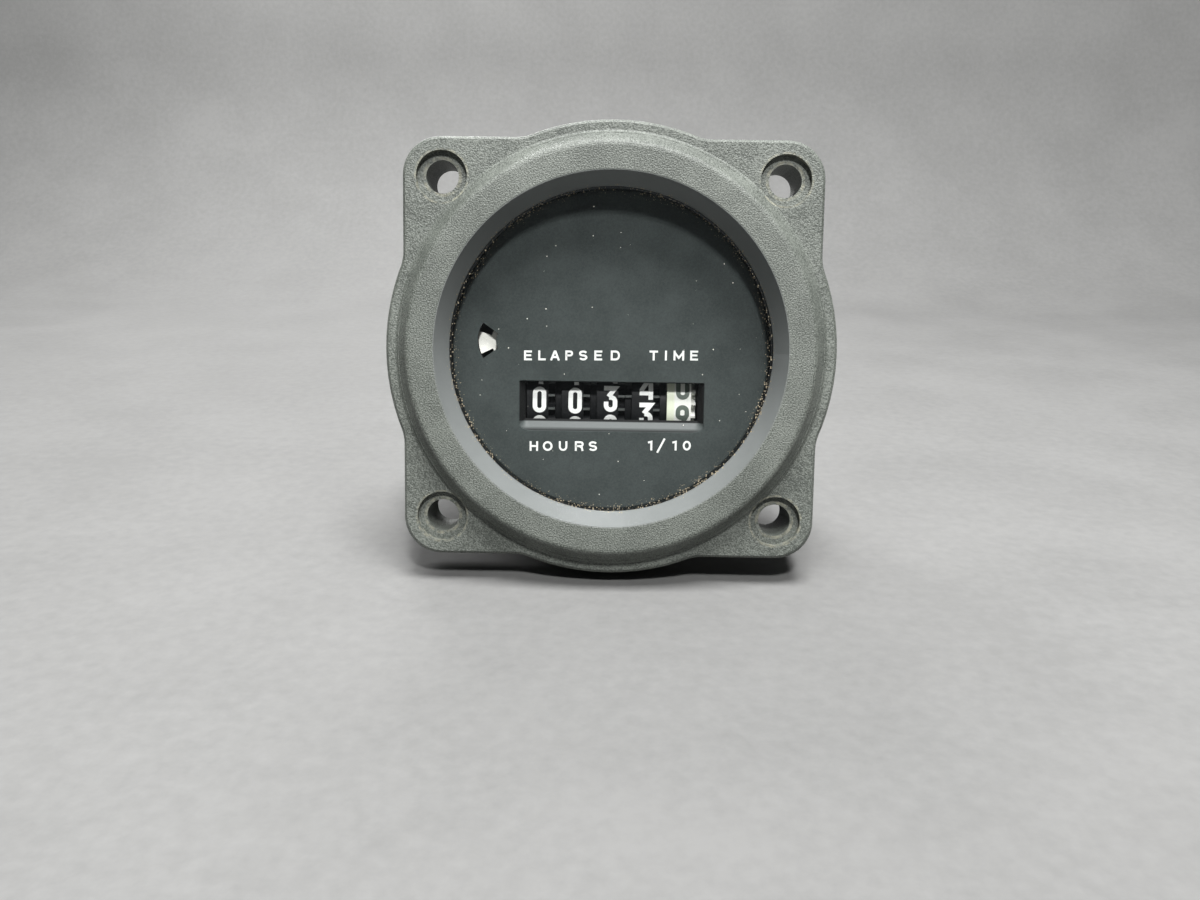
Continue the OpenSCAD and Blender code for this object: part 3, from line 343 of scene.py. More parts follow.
def dial_paint():
    """Matt black paint, near black on the openings' walls as painted shade, and a painted highlight of shiny
    grey on the window's sill that fades to black at its foot.
    """
    material, tree = new_material("matt_black_dial_paint")
    place = add(tree, "TexCoord", out="Object")
    depth = add(tree, "SeparateXYZ", place, out="Y")
    height = depth.node.outputs["Z"]
    behind = add(tree, "MapRange", depth, *in_metres(dial_front + w for w in WALL), 0.0, 1.0)
    low = add(tree, "MapRange", height, *in_metres(SILL_HIGHLIGHT_EDGE), 0.0, 1.0)
    fade = add(tree, "MapRange", height, *in_metres(SILL_HIGHLIGHT_FOOT), 0.15, 1.0)
    low_sill = add(tree, "Math", low, fade, operation="MULTIPLY")
    # thin is the mask of the painted highlight on the sill; elsewhere the walls keep their painted shade.
    thin = add(tree, "Math", behind, low_sill, operation="MULTIPLY")
    grain = add(tree, "TexNoise", place, Scale=per_mm(0.25), Detail=3.0, Roughness=0.6)
    patches = add(tree, "TexNoise", place, Scale=per_mm(5.0), Detail=3.0, Roughness=0.6)
    both = add(tree, "Math", grain, patches, operation="ADD")
    spread = add(tree, "MapRange", both, 0.75, 1.25, 0.0, 1.0)
    matt = add(tree, "Mix", spread, linear("#2c3231"), linear("#383e3d"), data_type="RGBA")
    walled = add(tree, "Mix", behind, matt, linear("#060707"), data_type="RGBA")
    colour = add(tree, "Mix", thin, walled, linear("#3e4342"), data_type="RGBA")
    rough = add(tree, "MapRange", thin, 0.0, 1.0, 0.85, 0.5)
    relief = add(tree, "Bump", Strength=0.4, Distance=0.01 * MM, Height=grain)
    shader = add(tree, "BsdfPrincipled", Base_Color=colour, Roughness=rough, Normal=relief)
    shader.node.inputs["Specular IOR Level"].default_value = 0.25
    add(tree, "OutputMaterial", shader)
    return material


def tenths_plastic():
    """White on the drum's rim and teeth, a thin green-yellow band at its left, and black left of the rim as
    painted shade.
    """
    material, tree = new_material("moulded_white_tenths_drum")
    place = add(tree, "TexCoord", out="Object")
    across = add(tree, "SeparateXYZ", place, out="X")
    patches = add(tree, "TexNoise", place, Scale=per_mm(2.0), Detail=2.0, Roughness=0.6)
    white = add(tree, "Mix", patches, linear("#e2e5dd"), linear("#eff1eb"), data_type="RGBA")
    band = add(tree, "MapRange", across, *in_metres(TENTHS_BAND), 0.0, 1.0)
    banded_white = add(tree, "Mix", band, linear("#dfe5cf"), white, data_type="RGBA")
    on_rim = add(tree, "MapRange", across, *in_metres(TENTHS_RIM), 0.0, 1.0)
    # Painted shade: the drum is coloured black left of its rim.
    colour = add(tree, "Mix", on_rim, linear("#1a1b1c"), banded_white, data_type="RGBA")
    shader = add(tree, "BsdfPrincipled", Base_Color=colour, Roughness=0.45, IOR=1.5)
    add(tree, "OutputMaterial", shader)
    return material


def black_drum():
    """Black plastic with a painted highlight in pale grey on its tooth tips, 6.16 mm from the drum's axis."""
    material, tree = new_material("moulded_black_drum")
    place = add(tree, "TexCoord", out="Object")
    grain = add(tree, "TexNoise", place, Scale=per_mm(0.4), Detail=3.0, Roughness=0.6)
    black = add(tree, "Mix", grain, linear("#0c0d0e"), linear("#16181a"), data_type="RGBA")
    axis = (0.0, drum_axis[1] * MM, drum_axis[2] * MM)
    from_axis = add(tree, "VectorMath", place, axis, operation="SUBTRACT")
    in_mm = add(tree, "VectorMath", from_axis, (0.0, 1000.0, 1000.0), operation="MULTIPLY")
    radius = add(tree, "VectorMath", in_mm, operation="LENGTH", out="Value")
    # Painted highlight: the tooth tips are coloured pale grey.
    tip = add(tree, "Math", radius, *TOOTH_TIP_HIGHLIGHT, operation="COMPARE")
    colour = add(tree, "Mix", tip, black, linear("#505452"), data_type="RGBA")
    relief = add(tree, "Bump", Strength=0.5, Distance=0.01 * MM, Height=grain)
    shader = add(tree, "BsdfPrincipled", Base_Color=colour, Roughness=0.6, Normal=relief)
    shader.node.inputs["Specular IOR Level"].default_value = 0.25
    add(tree, "OutputMaterial", shader)
    return material


letter_ink = fine_surface("white_screen_ink", "#c6c8c5", "#d4d6d3", 0.6, 0.2, 0.01, 0.4)
drum_black = black_drum()
figure_white = fine_surface("hot_stamped_white", "#e6e9e5", "#f5f7f4", 0.5, 0.25, 0.01, 0.4)
figure_grey = fine_surface("hot_stamped_grey", "#525c54", "#626c64", 0.55, 0.25, 0.01, 0.4)
case_plastic = fine_surface("moulded_case_plastic", "#252728", "#2e3132", 0.45, 0.35, 0.06, 0.5)

# %% [markdown]
# ## Finishes of the parts inside
# None of these shows from outside, but the part can be taken apart, so each has its own
# finish: zinc castings, plated screws, ground shafts, nylon wheels, a brass worm, enamelled copper wire
# and a green circuit board. A turned piece has rings where the tool passed, so its noise is squeezed
# along its axis. The winding's wire is 0.12 mm thick. Its bands are drawn much wider than that, 1.57 mm
# from crest to crest, so each band stands for about a dozen turns side by side.

# %% Turned metal, wire and board
def turned_metal(name, dark, light, rough, ring_mm, squeeze):
    """Rings round an axis: noise of 12 ring widths, squeezed 12 times along that axis."""
    material, tree = new_material(name)
    place = add(tree, "TexCoord", out="Object")
    squeezed = add(tree, "VectorMath", place, squeeze, operation="MULTIPLY")
    rings = add(tree, "TexNoise", squeezed, Scale=per_mm(ring_mm * 12), Detail=2.0)
    spread = add(tree, "MapRange", rings, 0.35, 0.65, 0.0, 1.0)
    colour = add(tree, "Mix", spread, linear(dark), linear(light), data_type="RGBA")
    shine = add(tree, "MapRange", rings, 0.3, 0.7, rough - 0.08, rough + 0.08)
    relief = add(tree, "Bump", Strength=0.5, Distance=0.01 * MM, Height=rings)
    shader = add(tree, "BsdfPrincipled", Base_Color=colour, Roughness=shine, Metallic=1.0, Normal=relief)
    add(tree, "OutputMaterial", shader)
    return material


def copper_winding():
    """Bands along x, as colour and as relief: crest to crest 2 pi / (20 * scale), 1.57 mm at a scale of 200."""
    material, tree = new_material("enamelled_copper_winding")
    place = add(tree, "TexCoord", out="Object")
    bands = add(tree, "TexWave", place, Scale=200.0, wave_type="BANDS", bands_direction="X", out="Fac")
    colour = add(tree, "Mix", bands, linear("#6a2f14"), linear("#b86a3c"), data_type="RGBA")
    relief = add(tree, "Bump", Strength=1.0, Distance=0.05 * MM, Height=bands)
    shader = add(tree, "BsdfPrincipled", Base_Color=colour, Roughness=0.3, Metallic=0.8, Normal=relief)
    add(tree, "OutputMaterial", shader)
    return material


def board_laminate():
    """Green solder mask with the faint weave of the glass cloth under it, half a millimetre to a thread."""
    material, tree = new_material("green_board_laminate")
    place = add(tree, "TexCoord", out="Object")
    weave = add(tree, "TexChecker", place, Scale=per_mm(0.5), out="Fac")
    soft = add(tree, "TexNoise", place, Scale=per_mm(3.0), Detail=2.0, Roughness=0.5)
    faint = add(tree, "Math", weave, 0.25, operation="MULTIPLY")
    tone = add(tree, "Math", soft, 0.6, faint, operation="MULTIPLY_ADD")
    colour = add(tree, "Mix", tone, linear("#1f4a2b"), linear("#35693f"), data_type="RGBA")
    relief = add(tree, "Bump", Strength=0.5, Distance=0.008 * MM, Height=weave)
    shader = add(tree, "BsdfPrincipled", Base_Color=colour, Roughness=0.35, Normal=relief)
    add(tree, "OutputMaterial", shader)
    return material


# %% Finishes of the parts inside
ROUND_X, ROUND_Y = (12.0, 1.0, 1.0), (1.0, 12.0, 1.0)
zinc_casting = fine_surface("die_cast_zinc", "#8f9192", "#b3b6b7", 0.45, 0.5, 0.02, metal=1.0)
screw_steel = turned_metal("zinc_plated_screw", "#9da3a8", "#c6ccd2", 0.32, 0.15, ROUND_Y)
shaft_steel_x = turned_metal("ground_shaft_steel", "#a3a8ad", "#cdd2d6", 0.25, 0.12, ROUND_X)
shaft_steel_y = turned_metal("ground_arbor_steel", "#a3a8ad", "#cdd2d6", 0.25, 0.12, ROUND_Y)
worm_brass = turned_metal("turned_worm_brass", "#a67c32", "#d0a954", 0.3, 0.12, ROUND_Y)
gear_nylon = fine_surface("natural_nylon", "#cfc9b6", "#e2ddcd", 0.42, 0.5, 0.01, 0.5)
indicator_white = fine_surface("moulded_white_indicator", "#eceee4", "#fafaf3", 0.5, 0.4, 0.01, 0.4)
gasket_rubber = fine_surface("black_gasket_rubber", "#141414", "#1f1f1f", 0.8, 0.3, 0.02, 0.3)
magnet_ferrite = fine_surface("sintered_ferrite", "#333436", "#47494b", 0.6, 0.25, 0.02, metal=0.3)
stator_steel = fine_surface("stamped_silicon_steel", "#6e7276", "#8b9095", 0.4, 0.3, 0.01, metal=1.0)
bobbin_nylon = fine_surface("green_bobbin_nylon", "#22402b", "#315539", 0.35, 0.4, 0.01, 0.5)
lead_sleeve = fine_surface("red_lead_insulation", "#8c231d", "#a8332a", 0.4, 0.3, 0.01, 0.5)
chip_epoxy = fine_surface("moulded_chip_epoxy", "#191a1b", "#262728", 0.65, 0.2, 0.02, 0.4)
crystal_can = fine_surface("drawn_crystal_can", "#9fa4a9", "#c2c7cb", 0.28, 0.4, 0.01, metal=1.0)
capacitor_sleeve = fine_surface("blue_capacitor_lacquer", "#1c3060", "#2c4683", 0.3, 0.4, 0.01, 0.5)
resistor_lacquer = fine_surface("beige_resistor_lacquer", "#b39a72", "#ccb68e", 0.35, 0.4, 0.01, 0.5)
diode_epoxy = fine_surface("black_diode_epoxy", "#17181a", "#26272a", 0.3, 0.4, 0.01, 0.5)
terminal_metal = fine_surface("tinned_brass_blade", "#a39c88", "#c4bda8", 0.33, 0.35, 0.01, metal=1.0)

# %% Put a finish on every CAD node
FINISH = {
    "bezel": bezel_plastic(), "lens": lens_glass(), "lens_gasket": gasket_rubber, "dial": dial_paint(),
    "case": case_plastic, "movement_frame": zinc_casting, "rear_plate": zinc_casting,
    "movement_screws": screw_steel, "rear_plate_screws": screw_steel, "stator_screws": screw_steel,
    "drum_shaft": shaft_steel_x, "pinion_shaft": shaft_steel_x, "cross_shaft": shaft_steel_x,
    "worm_arbor": shaft_steel_y, "indicator_arbor": shaft_steel_y, "rotor_arbor": shaft_steel_y,
    "worm": worm_brass, "indicator_wheel": indicator_white, "rotor_magnet": magnet_ferrite,
    "stator": stator_steel, "coil_bobbin": bobbin_nylon, "coil_winding": copper_winding(),
    "coil_leads": lead_sleeve, "circuit_board": board_laminate(), "chip": chip_epoxy,
    "crystal": crystal_can, "capacitor": capacitor_sleeve, "resistor": resistor_lacquer,
    "diode": diode_epoxy, "left_terminal": terminal_metal, "right_terminal": terminal_metal,
    "tenths_drum": tenths_plastic(),
}
FINISH.update({name: drum_black for name in DRUMS[:4]})
for name, piece in frame["nodes"].items():
    piece.data.materials.clear()
    piece.data.materials.append(FINISH.get(name, gear_nylon))
print("finished nodes:", len(frame["nodes"]), "with", len({m.name for m in FINISH.values()}) + 1, "materials")

# %% [markdown]
# ## Figures and letters as strokes
# Printed figures could be text objects, but the drums' figures are a style of their own: a flat-topped
# 3 and a square-shouldered 0. So each one is a few strokes. A stroke is a line with a width, given by
# its centre line, and it is carried out to a thin slab of ink: a grid with four points round and one row
# for each point along the line. The same slab is laid flat on the dial or bent round a drum.


# %% The stroke
def bow(cx, cy, rx, ry, start, end, steps=10):
    """Points on an ellipse's arc: (cx + rx cos a, cy + ry sin a), a from start to end in degrees."""
    a = np.radians(np.linspace(start, end, steps + 1))
    return np.stack([cx + rx * np.cos(a), cy + ry * np.sin(a)], axis=1)


def chain(*parts):
    """Joins single points and arcs to one line."""
    return np.concatenate([np.atleast_2d(np.asarray(p, dtype=float)) for p in parts])


def refined(line, step):
    """Adds points so that no stretch is longer than step, which lets a stroke bend round a drum."""
    lengths = np.linalg.norm(np.diff(line, axis=0), axis=1)
    counts = np.maximum(1, np.ceil(lengths / step).astype(int))
    pieces = [line[i] + (line[i + 1] - line[i]) * np.arange(n)[:, None] / n for i, n in enumerate(counts)]
    return np.concatenate(pieces + [line[-1:]])


def stroke(line, width, closed=False, step=0.3):
    """Left and right edge of a stroke: line -+ width / 2 along the corner's mitre, normal / cos(half turn)."""
    line = np.concatenate([line, line[:1]]) if closed else line
    moved = np.linalg.norm(np.diff(line, axis=0), axis=1) > 1e-5
    line = refined(line[np.concatenate([[True], moved])], step)
    ahead = np.diff(line, axis=0)
    ahead /= np.linalg.norm(ahead, axis=1)[:, None]
    if closed:
        line, before, after = line[:-1], np.roll(ahead, 1, axis=0), ahead
    else:
        before, after = np.vstack([ahead[:1], ahead]), np.vstack([ahead, ahead[-1:]])
    along = before + after
    along /= np.linalg.norm(along, axis=1)[:, None]
    normal = np.stack([-along[:, 1], along[:, 0]], axis=1)
    mitre = 1 / np.maximum(0.35, (along * after).sum(axis=1))
    half = normal * (mitre * width / 2)[:, None]
    return line + half, line - half


def slab(line, width, thickness, closed=False, step=0.3):
    """A thin closed slab: (points across, up and out; faces). Four points round, one row for each step."""
    left, right_edge = stroke(line, width, closed, step)
    n = len(left)
    corners = [(right_edge, 0.0), (right_edge, thickness), (left, thickness), (left, 0.0)]
    points = np.stack([np.column_stack([c, np.full(n, out)]) for c, out in corners], axis=1).reshape(-1, 3)
    rows = np.arange(n if closed else n - 1)
    ring = np.arange(4)
    a = rows[:, None] * 4 + ring
    b = rows[:, None] * 4 + (ring + 1) % 4
    c = ((rows[:, None] + 1) % n) * 4 + (ring + 1) % 4
    d = ((rows[:, None] + 1) % n) * 4 + ring
    faces = np.stack([a, d, c, b], axis=2).reshape(-1, 4).tolist()
    if not closed:
        faces += [[0, 1, 2, 3], [4 * n - 1, 4 * n - 2, 4 * n - 3, 4 * n - 4]]
    return points, faces


# %% [markdown]
# ## Dial plate
# The real dial is a pressed sheet. Its counter window is punched square at the top, and pressed back
# below to a scooped sill with rounded ends, which catches the light. The CAD dial is the same disc with
# the same openings, and one plain bevel all round the window. So the dressed dial is a plate of its own
# that replaces it. Booleans could cut it. Here each opening is a loop of points that is repeated at
# three depths, and walls join a loop to its next copy, which leaves clean edges.

# %% Dial plate
dial_low, dial_high = node_box("dial")
dial_r, dial_back = dial_high[0], dial_high[1]
WINDOW = {"left": -12.95, "right": 13.35, "top": -4.46, "bottom": -11.45}
SILL_TOP = -9.85
wheel_low, wheel_high = node_box("indicator_gear")
wheel_at = (wheel_low + wheel_high) / 2


def window_loop(left, right, top, bottom, corner, end_w, end_h):
    """A loop of four quarter ellipses: end_w by end_h at the bottom's ends, corner by corner at the top's."""
    return np.concatenate([
        bow(left + end_w, bottom + end_h, end_w, end_h, 180, 270),
        bow(right - end_w, bottom + end_h, end_w, end_h, 270, 360),
        bow(right - corner, top - corner, corner, corner, 0, 90),
        bow(left + corner, top - corner, corner, corner, 90, 180)])


def plate(name, loops_at, levels):
    """A plate from the same loops at each level y. The first and last level are filled between their loops,
    and point i of a loop is joined to points i and i + 1 of its copy at the next level."""
    counts = [len(loop) for loop in loops_at[0]]
    flat = [np.concatenate(loops) for loops in loops_at]
    total = sum(counts)
    points = np.concatenate([np.insert(f, 1, y, axis=1) for f, y in zip(flat, levels)])
    faces = []
    for level in (0, len(levels) - 1):
        closed_loops = [np.insert(loop, 2, 0.0, axis=1).tolist() for loop in loops_at[level]]
        faces += (np.array(tessellate_polygon(closed_loops)) + level * total).tolist()
    for start, count in zip(np.cumsum([0] + counts), counts):
        here = start + np.arange(count)
        after = start + (np.arange(count) + 1) % count
        for level in range(len(levels) - 1):
            a, b = level * total, (level + 1) * total
            faces += np.stack([here + a, after + a, after + b, here + b], axis=1).tolist()
    piece = mesh_piece(name, points, faces)
    builder = bmesh.new()
    builder.from_mesh(piece.data)
    bmesh.ops.recalc_face_normals(builder, faces=builder.faces)
    builder.to_mesh(piece.data)
    builder.free()
    return piece


w = WINDOW
disc = bow(0, 0, dial_r, dial_r, 0, 357.5, 143)
sector = np.concatenate([bow(wheel_at[0], wheel_at[2], 4.4, 4.4, 145, 215, 14),
                         bow(wheel_at[0], wheel_at[2], 1.8, 1.8, 215, 145, 10)])
wide = window_loop(w["left"] - 0.15, w["right"] + 0.15, w["top"] + 0.15, w["bottom"] - 0.1, 0.3, 1.9, 1.0)
punched = window_loop(w["left"], w["right"], w["top"], w["bottom"], 0.2, 1.8, 1.0)
rear = window_loop(w["left"] + 0.75, w["right"] - 0.75, w["top"], SILL_TOP, 0.1, 0.1, 0.1)
dial_plate = plate("dial_plate", [[disc, wide, sector], [disc, punched, sector], [disc, rear, sector]],
                   [dial_front, dial_front + 0.15, dial_back])
dial_plate.data.materials.append(FINISH["dial"])
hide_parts("dial")
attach(dial_plate, "housing")
print("dial plate faces:", len(dial_plate.data.polygons))

# %% [markdown]
# ## The alphabet
# Each glyph is drawn in its own box, w wide and h high, about its middle. Centre lines stay half a
# stroke inside the box. The letters are a plain bold sans serif.

# %% Glyphs of the dial
def letter_lines(glyph, w, h, s):
    """The centre lines of a glyph in a box w by h with stroke s: a list of (line, closed).
    Centre lines reach x and y, and e and t are the box's own edge and top."""
    x, y = (w - s) / 2, (h - s) / 2
    e = w / 2
    t = h / 2
    if glyph == "E":
        return [(chain((e, y), (-x, y), (-x, -y), (e, -y)), False),
                (chain((-x, 0.02), (e * 0.82, 0.02)), False)]
    if glyph == "L":
        return [(chain((-x, t), (-x, -y), (e, -y)), False)]
    if glyph == "A":
        return [(chain((-x, -t), (-s * 0.22, y), (s * 0.22, y), (x, -t)), False),
                (chain((-x * 0.6, -y * 0.42), (x * 0.6, -y * 0.42)), False)]
    if glyph in ("P", "R"):
        r = y * 0.5
        bowl = chain((-x, -t), (-x, y), (x - r, y), bow(x - r, y - r, r, r, 90, -90), (-x, y - 2 * r))
        leg = chain((0.1 * x, -0.02), (0.75 * x, -0.35 * y), (x, -t))
        return [(bowl, False), (leg, False)] if glyph == "R" else [(bowl, False)]
    if glyph == "S":
        r = y / 2
        return [(chain(bow(0, r, x, r, 20, 270, 14), bow(0, -r, x, r, 90, -160, 14)), False)]
    if glyph == "D":
        r = y * 0.85
        return [(chain((-x, -y), (-x, y), (x - r, y), bow(x - r, y - r, r, r, 90, 0),
                       bow(x - r, r - y, r, r, 0, -90)), True)]
    if glyph == "T":
        return [(chain((-e, y), (e, y)), False), (chain((0, y), (0, -t)), False)]
    if glyph == "I":
        return [(chain((0, t), (0, -t)), False)]
    if glyph == "M":
        return [(chain((-x, -t), (-x, t)), False), (chain((x, t), (x, -t)), False),
                (chain((-x, y * 0.8), (0, -y * 0.6), (x, y * 0.8)), False)]
    if glyph == "H":
        return [(chain((-x, t), (-x, -t)), False), (chain((x, t), (x, -t)), False),
                (chain((-x, 0), (x, 0)), False)]
    if glyph == "U":
        return [(chain((-x, t), (-x, x - y), bow(0, x - y, x, x, 180, 360, 12), (x, t)), False)]
    if glyph == "1":
        return [(chain((x, -t), (x, t - s / 2), (-e, t * 0.62)), False)]
    if glyph == "/":
        return [(chain((-x, -t), (x, t)), False)]
    return [(bow(0, 0, x, y, 0, 345, 23), True)]


# %% [markdown]
# ## Dial lettering
# The words stand level above and below the counter. Each letter's middle was measured on the
# photograph, so the wide and uneven spacing of the real print is kept, and so is its small turn: the
# words climb by 0.014 mm for each millimetre to the right.

# %% Dial lettering
LETTER_H = 1.40
LETTER_STROKE = 0.28
SLASH_H = 2.05
PRINT_TURN = 0.0138
PRINT_DROP = -0.06
INK = 0.03
INK_STEP = 0.004
WIDTHS = {"E": 1.12, "L": 1.06, "A": 1.40, "P": 1.10, "S": 1.20, "D": 1.30, "T": 1.20, "I": 0.32,
          "M": 1.52, "H": 1.22, "O": 1.40, "U": 1.22, "R": 1.26, "1": 0.62, "/": 1.32, "0": 1.16}
WORDS = {
    "elapsed_time_lettering": (-0.55, [("E", -11.83), ("L", -9.83), ("A", -7.97), ("P", -5.95),
                                       ("S", -3.95), ("E", -1.80), ("D", 0.63), ("T", 6.10),
                                       ("I", 7.84), ("M", 9.68), ("E", 11.85)]),
    "hours_lettering": (-13.55, [("H", -10.89), ("O", -8.90), ("U", -6.68), ("R", -4.35), ("S", -2.38)]),
    "tenths_lettering": (-13.45, [("1", 5.85), ("/", 7.40), ("1", 9.35), ("0", 11.12)]),
}


def joined(parts):
    """Puts slabs together: all points in one array, and each slab's faces counted on from the last."""
    points, faces, start = [], [], 0
    for p, f in parts:
        points.append(p)
        faces += [[i + start for i in face] for face in f]
        start += len(p)
    return np.concatenate(points), faces


def lay_flat(points, x, z, front):
    """Across, up and out become x + across, front - out and z + up."""
    return np.column_stack([x + points[:, 0], front - points[:, 2], z + points[:, 1]])


for word, (z, letters) in WORDS.items():
    parts = []
    for k, (glyph, x) in enumerate(letters):
        tall = SLASH_H if glyph == "/" else LETTER_H
        for j, (line, closed) in enumerate(letter_lines(glyph, WIDTHS[glyph], tall, LETTER_STROKE)):
            points, faces = slab(line, LETTER_STROKE, INK + INK_STEP * j, closed)
            parts.append((lay_flat(points, x, z + PRINT_DROP + PRINT_TURN * x, dial_front), faces))
    points, faces = joined(parts)
    piece = mesh_piece(word, points, faces)
    piece.data.materials.append(letter_ink)
    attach(piece, "housing")
    print(word, "points:", len(points))

# %% [markdown]
# ## Figures on the drums
# Each drum carries ten figures, one tenth of a turn apart. A figure's box is 1.95 mm wide, and 3.78 mm
# high on the black drums. Bending keeps lengths: a point that is up by u on the flat figure goes to the
# angle u / r round the drum. The drums count up as they turn their front down, so the next figure
# comes from above.

# %% Figures of the drums
FIGURE_W = 1.95
FIGURE_STROKE = 0.66


def figure_lines(n, w, h, s):
    """The centre lines of figure n in a box w by h with stroke s."""
    x, y = (w - s) / 2, (h - s) / 2
    t = h / 2
    r = min(x, 0.62)
    if n == 0:
        return [(chain(bow(x - r, y - r, r, r, 0, 90, 6), bow(r - x, y - r, r, r, 90, 180, 6),
                       bow(r - x, r - y, r, r, 180, 270, 6), bow(x - r, r - y, r, r, 270, 360, 6)), True)]
    if n == 1:
        return [(chain((0.25 * x, -t), (0.25 * x, y), (-x, y * 0.62)), False)]
    if n == 2:
        return [(chain(bow(0, y - x, x, x, 170, -30, 12), (-x, -y), (w / 2, -y)), False)]
    if n == 3:
        return [(chain((-w / 2, y), (x, y), (-0.5 * x, 0.2 * y)), False),
                (chain((-0.35 * x, 0.14 * y), bow(x - r, 0.14 * y - r, r, r, 80, 0, 6),
                       bow(x - r, r - y, r, r, 0, -90, 6), bow(r - x, r - y, r, r, 270, 180, 6),
                       (-x, -0.26 * y)), False)]
    if n == 4:
        return [(chain((x, -t), (x, t)), False),
                (chain((x, y), (-x, -0.3 * y), (-x, -0.6 * y), (x, -0.6 * y)), False)]
    if n == 5:
        return [(chain((w / 2, y), (-x, y), (-x, 0.12 * y), bow(0, -0.42 * y, x, 0.5 * y, 120, 0, 8),
                       bow(x - r, r - y, r, r, 0, -90, 6), bow(r - x, r - y, r, r, 270, 190, 6)), False)]
    if n == 6:
        return [(chain((0.5 * x, t), (-x, -0.15 * y), bow(r - x, r - y, r, r, 180, 270, 6),
                       bow(x - r, r - y, r, r, 270, 360, 6), bow(0, -0.2 * y, x, 0.32 * y, 0, 180, 10)), False)]
    if n == 7:
        return [(chain((-w / 2, y), (x, y), (-0.25 * x, -t)), False)]
    if n == 8:
        return [(bow(0, 0.5 * y, 0.88 * x, 0.5 * y, 0, 342, 19), True),
                (bow(0, -0.5 * y, x, 0.5 * y, 0, 342, 19), True)]
    return [(chain((-0.5 * x, -t), (x, 0.15 * y), bow(x - r, y - r, r, r, 0, 90, 6),
                   bow(r - x, y - r, r, r, 90, 180, 6), bow(0, 0.2 * y, x, 0.32 * y, 180, 360, 10)), False)]


def wrap_on_drum(points, x, angle, radius):
    """Across, up and out become a place round the drum: angle + up / radius, at radius + out."""
    a = angle + points[:, 1] / radius
    r = radius + points[:, 2]
    return np.column_stack([x + points[:, 0], drum_axis[1] - r * np.cos(a), drum_axis[2] + r * np.sin(a)])


SHOWS = {"thousands_drum": (0, 0.34), "hundreds_drum": (0, 0.26), "tens_drum": (3, 0.60),
         "units_drum": (3, -1.76), "tenths_drum": (9, -1.86)}
CENTRES = [-10.26, -5.08, 0.06, 5.22, 10.50]
FIGURE_H, TENTHS_FIGURE_H = 3.78, 3.42


def drum_figures(drum, centre, ink):
    """Ten figures round a drum: figure n at the angle lift / radius + (n - shown) / 10 of a turn."""
    shown, lift = SHOWS[drum]
    height = TENTHS_FIGURE_H if drum == "tenths_drum" else FIGURE_H
    offset = lift / drum_r
    parts = []
    for n in range(10):
        angle = offset + (n - shown) * math.tau / 10
        for j, (line, closed) in enumerate(figure_lines(n, FIGURE_W, height, FIGURE_STROKE)):
            points, faces = slab(line, FIGURE_STROKE, INK + INK_STEP * j, closed, step=0.2)
            parts.append((wrap_on_drum(points, centre, angle, drum_r), faces))
    points, faces = joined(parts)
    piece = mesh_piece(drum.replace("drum", "figures"), points, faces)
    piece.data.materials.append(ink)
    return piece


BODY_OF = {node: body for body, nodes in frame["record"]["behaviour"]["bodies"].items() for node in nodes}
for drum, centre in zip(DRUMS, CENTRES):
    piece = drum_figures(drum, centre, figure_grey if drum == "tenths_drum" else figure_white)
    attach(piece, BODY_OF[drum])
    print(piece.name, "rides on", BODY_OF[drum], "faces:", len(piece.data.polygons))

# %% [markdown]
# ## Floor and light
# The meter leans on its belt and on the rear edge of its case, so the floor is a plane through those two
# lines, carried up behind into a backdrop. The photograph's light is a large soft one overhead and a
# smaller one in front, 37 degrees up. The large one brightens the lower slopes and shades the flange below
# the rim. The small one throws the window's upper edge as a sharp shadow on the drums. Both leave the
# upper slope of the sight ring dark. A weak third one stands behind, where it adds next to nothing to the
# front and lifts the black case out of its own shade in the views from behind. The colours go to the
# screen by the standard curve, which keeps the deep blacks of a plain photograph.

# %% Floor
BELT_R = 31.5
BELT_TO_CASE_EDGE = 33.0
FLOOR_BELOW = 31.55
LEAN = math.atan2(BELT_R - case_r, BELT_TO_CASE_EDGE)


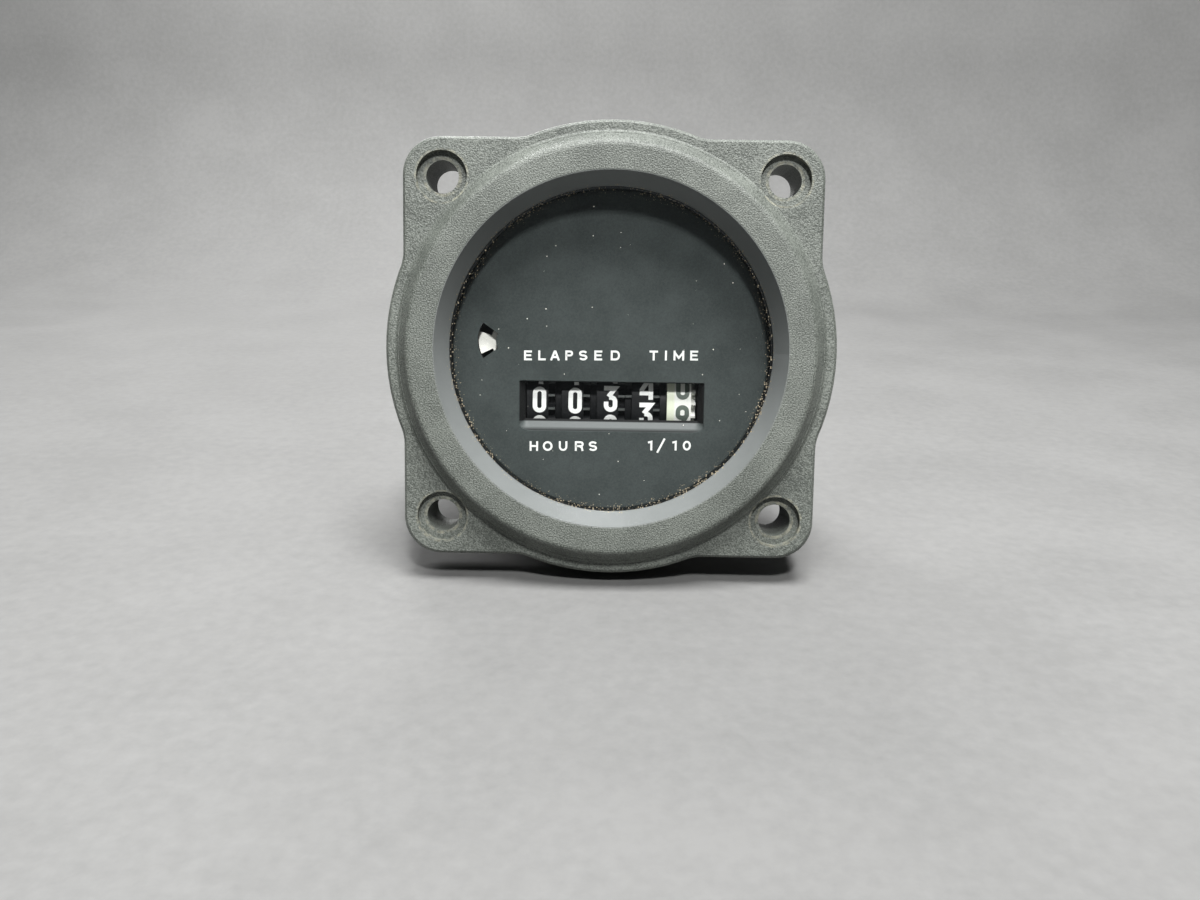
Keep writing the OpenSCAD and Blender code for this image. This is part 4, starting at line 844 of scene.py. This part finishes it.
def floor_sweep():
    """A sheet: flat in front, leaning by LEAN, then a quarter bend of 120 mm radius, then a wall."""
    flat = np.stack([np.linspace(-260, 240, 30), np.zeros(30)], axis=1)
    a = np.radians(np.linspace(0, 80, 16))[1:]
    bend = np.stack([240 + 120 * np.sin(a), 120 * (1 - np.cos(a))], axis=1)
    wall = bend[-1] + np.outer(np.linspace(0, 500, 8)[1:], [math.cos(a[-1]), math.sin(a[-1])])
    profile = np.concatenate([flat, bend, wall])
    turn = np.array([[math.cos(LEAN), math.sin(LEAN)], [-math.sin(LEAN), math.cos(LEAN)]])
    profile = profile @ turn
    profile[:, 1] -= FLOOR_BELOW
    across = np.linspace(-700, 700, 12)
    grid = np.stack(np.meshgrid(across, np.arange(len(profile)), indexing="ij"), axis=2)
    points = np.column_stack([grid[..., 0].ravel(), np.tile(profile, (len(across), 1))])
    m, n = len(across), len(profile)
    i, j = np.meshgrid(np.arange(m - 1), np.arange(n - 1), indexing="ij")
    a0 = (i * n + j).ravel()
    faces = np.stack([a0, a0 + n, a0 + n + 1, a0 + 1], axis=1)
    return mesh_piece("floor", points, faces.tolist(), smooth=True)


floor = floor_sweep()
floor.data.materials.append(fine_surface("pale_studio_paper", "#666665", "#6e6e6d", 0.9, 2.0, 0.05, 0.2))


# %% Lights
def soft_light(name, place, aim, size, power):
    """A white square area light at place, pointing at aim, in millimetres and watts."""
    data = bpy.data.lights.new(name, "AREA")
    data.shape = "SQUARE"
    data.size = size * MM
    data.energy = power
    light = bpy.data.objects.new(name, data)
    towards = np.array(aim, dtype=float) - np.array(place, dtype=float)
    towards /= np.linalg.norm(towards)
    side = np.cross(towards, [0, 0, 1])
    side /= np.linalg.norm(side)
    pose = np.eye(4)
    pose[:3, 0], pose[:3, 1], pose[:3, 2] = side, np.cross(side, towards), -towards
    pose[:3, 3] = np.array(place) * MM
    light.matrix_world = Matrix(pose.tolist())
    bpy.context.collection.objects.link(light)
    return light


soft_light("overhead", (50, -244, 548), (0, 0, 0), 260, 10.4)
soft_light("front_lamp", (60, -559, 421), (0, 0, 0), 70, 4.8)
soft_light("rear_fill", (-110, 290, 300), (0, 30, 0), 220, 2.2)
world = bpy.data.worlds.new("studio")
world.use_nodes = True
background = world.node_tree.nodes["Background"]
background.inputs[0].default_value = linear("#e2e8ea")
background.inputs[1].default_value = 0.10
bpy.context.scene.world = world
bpy.context.scene.view_settings.view_transform = "Standard"
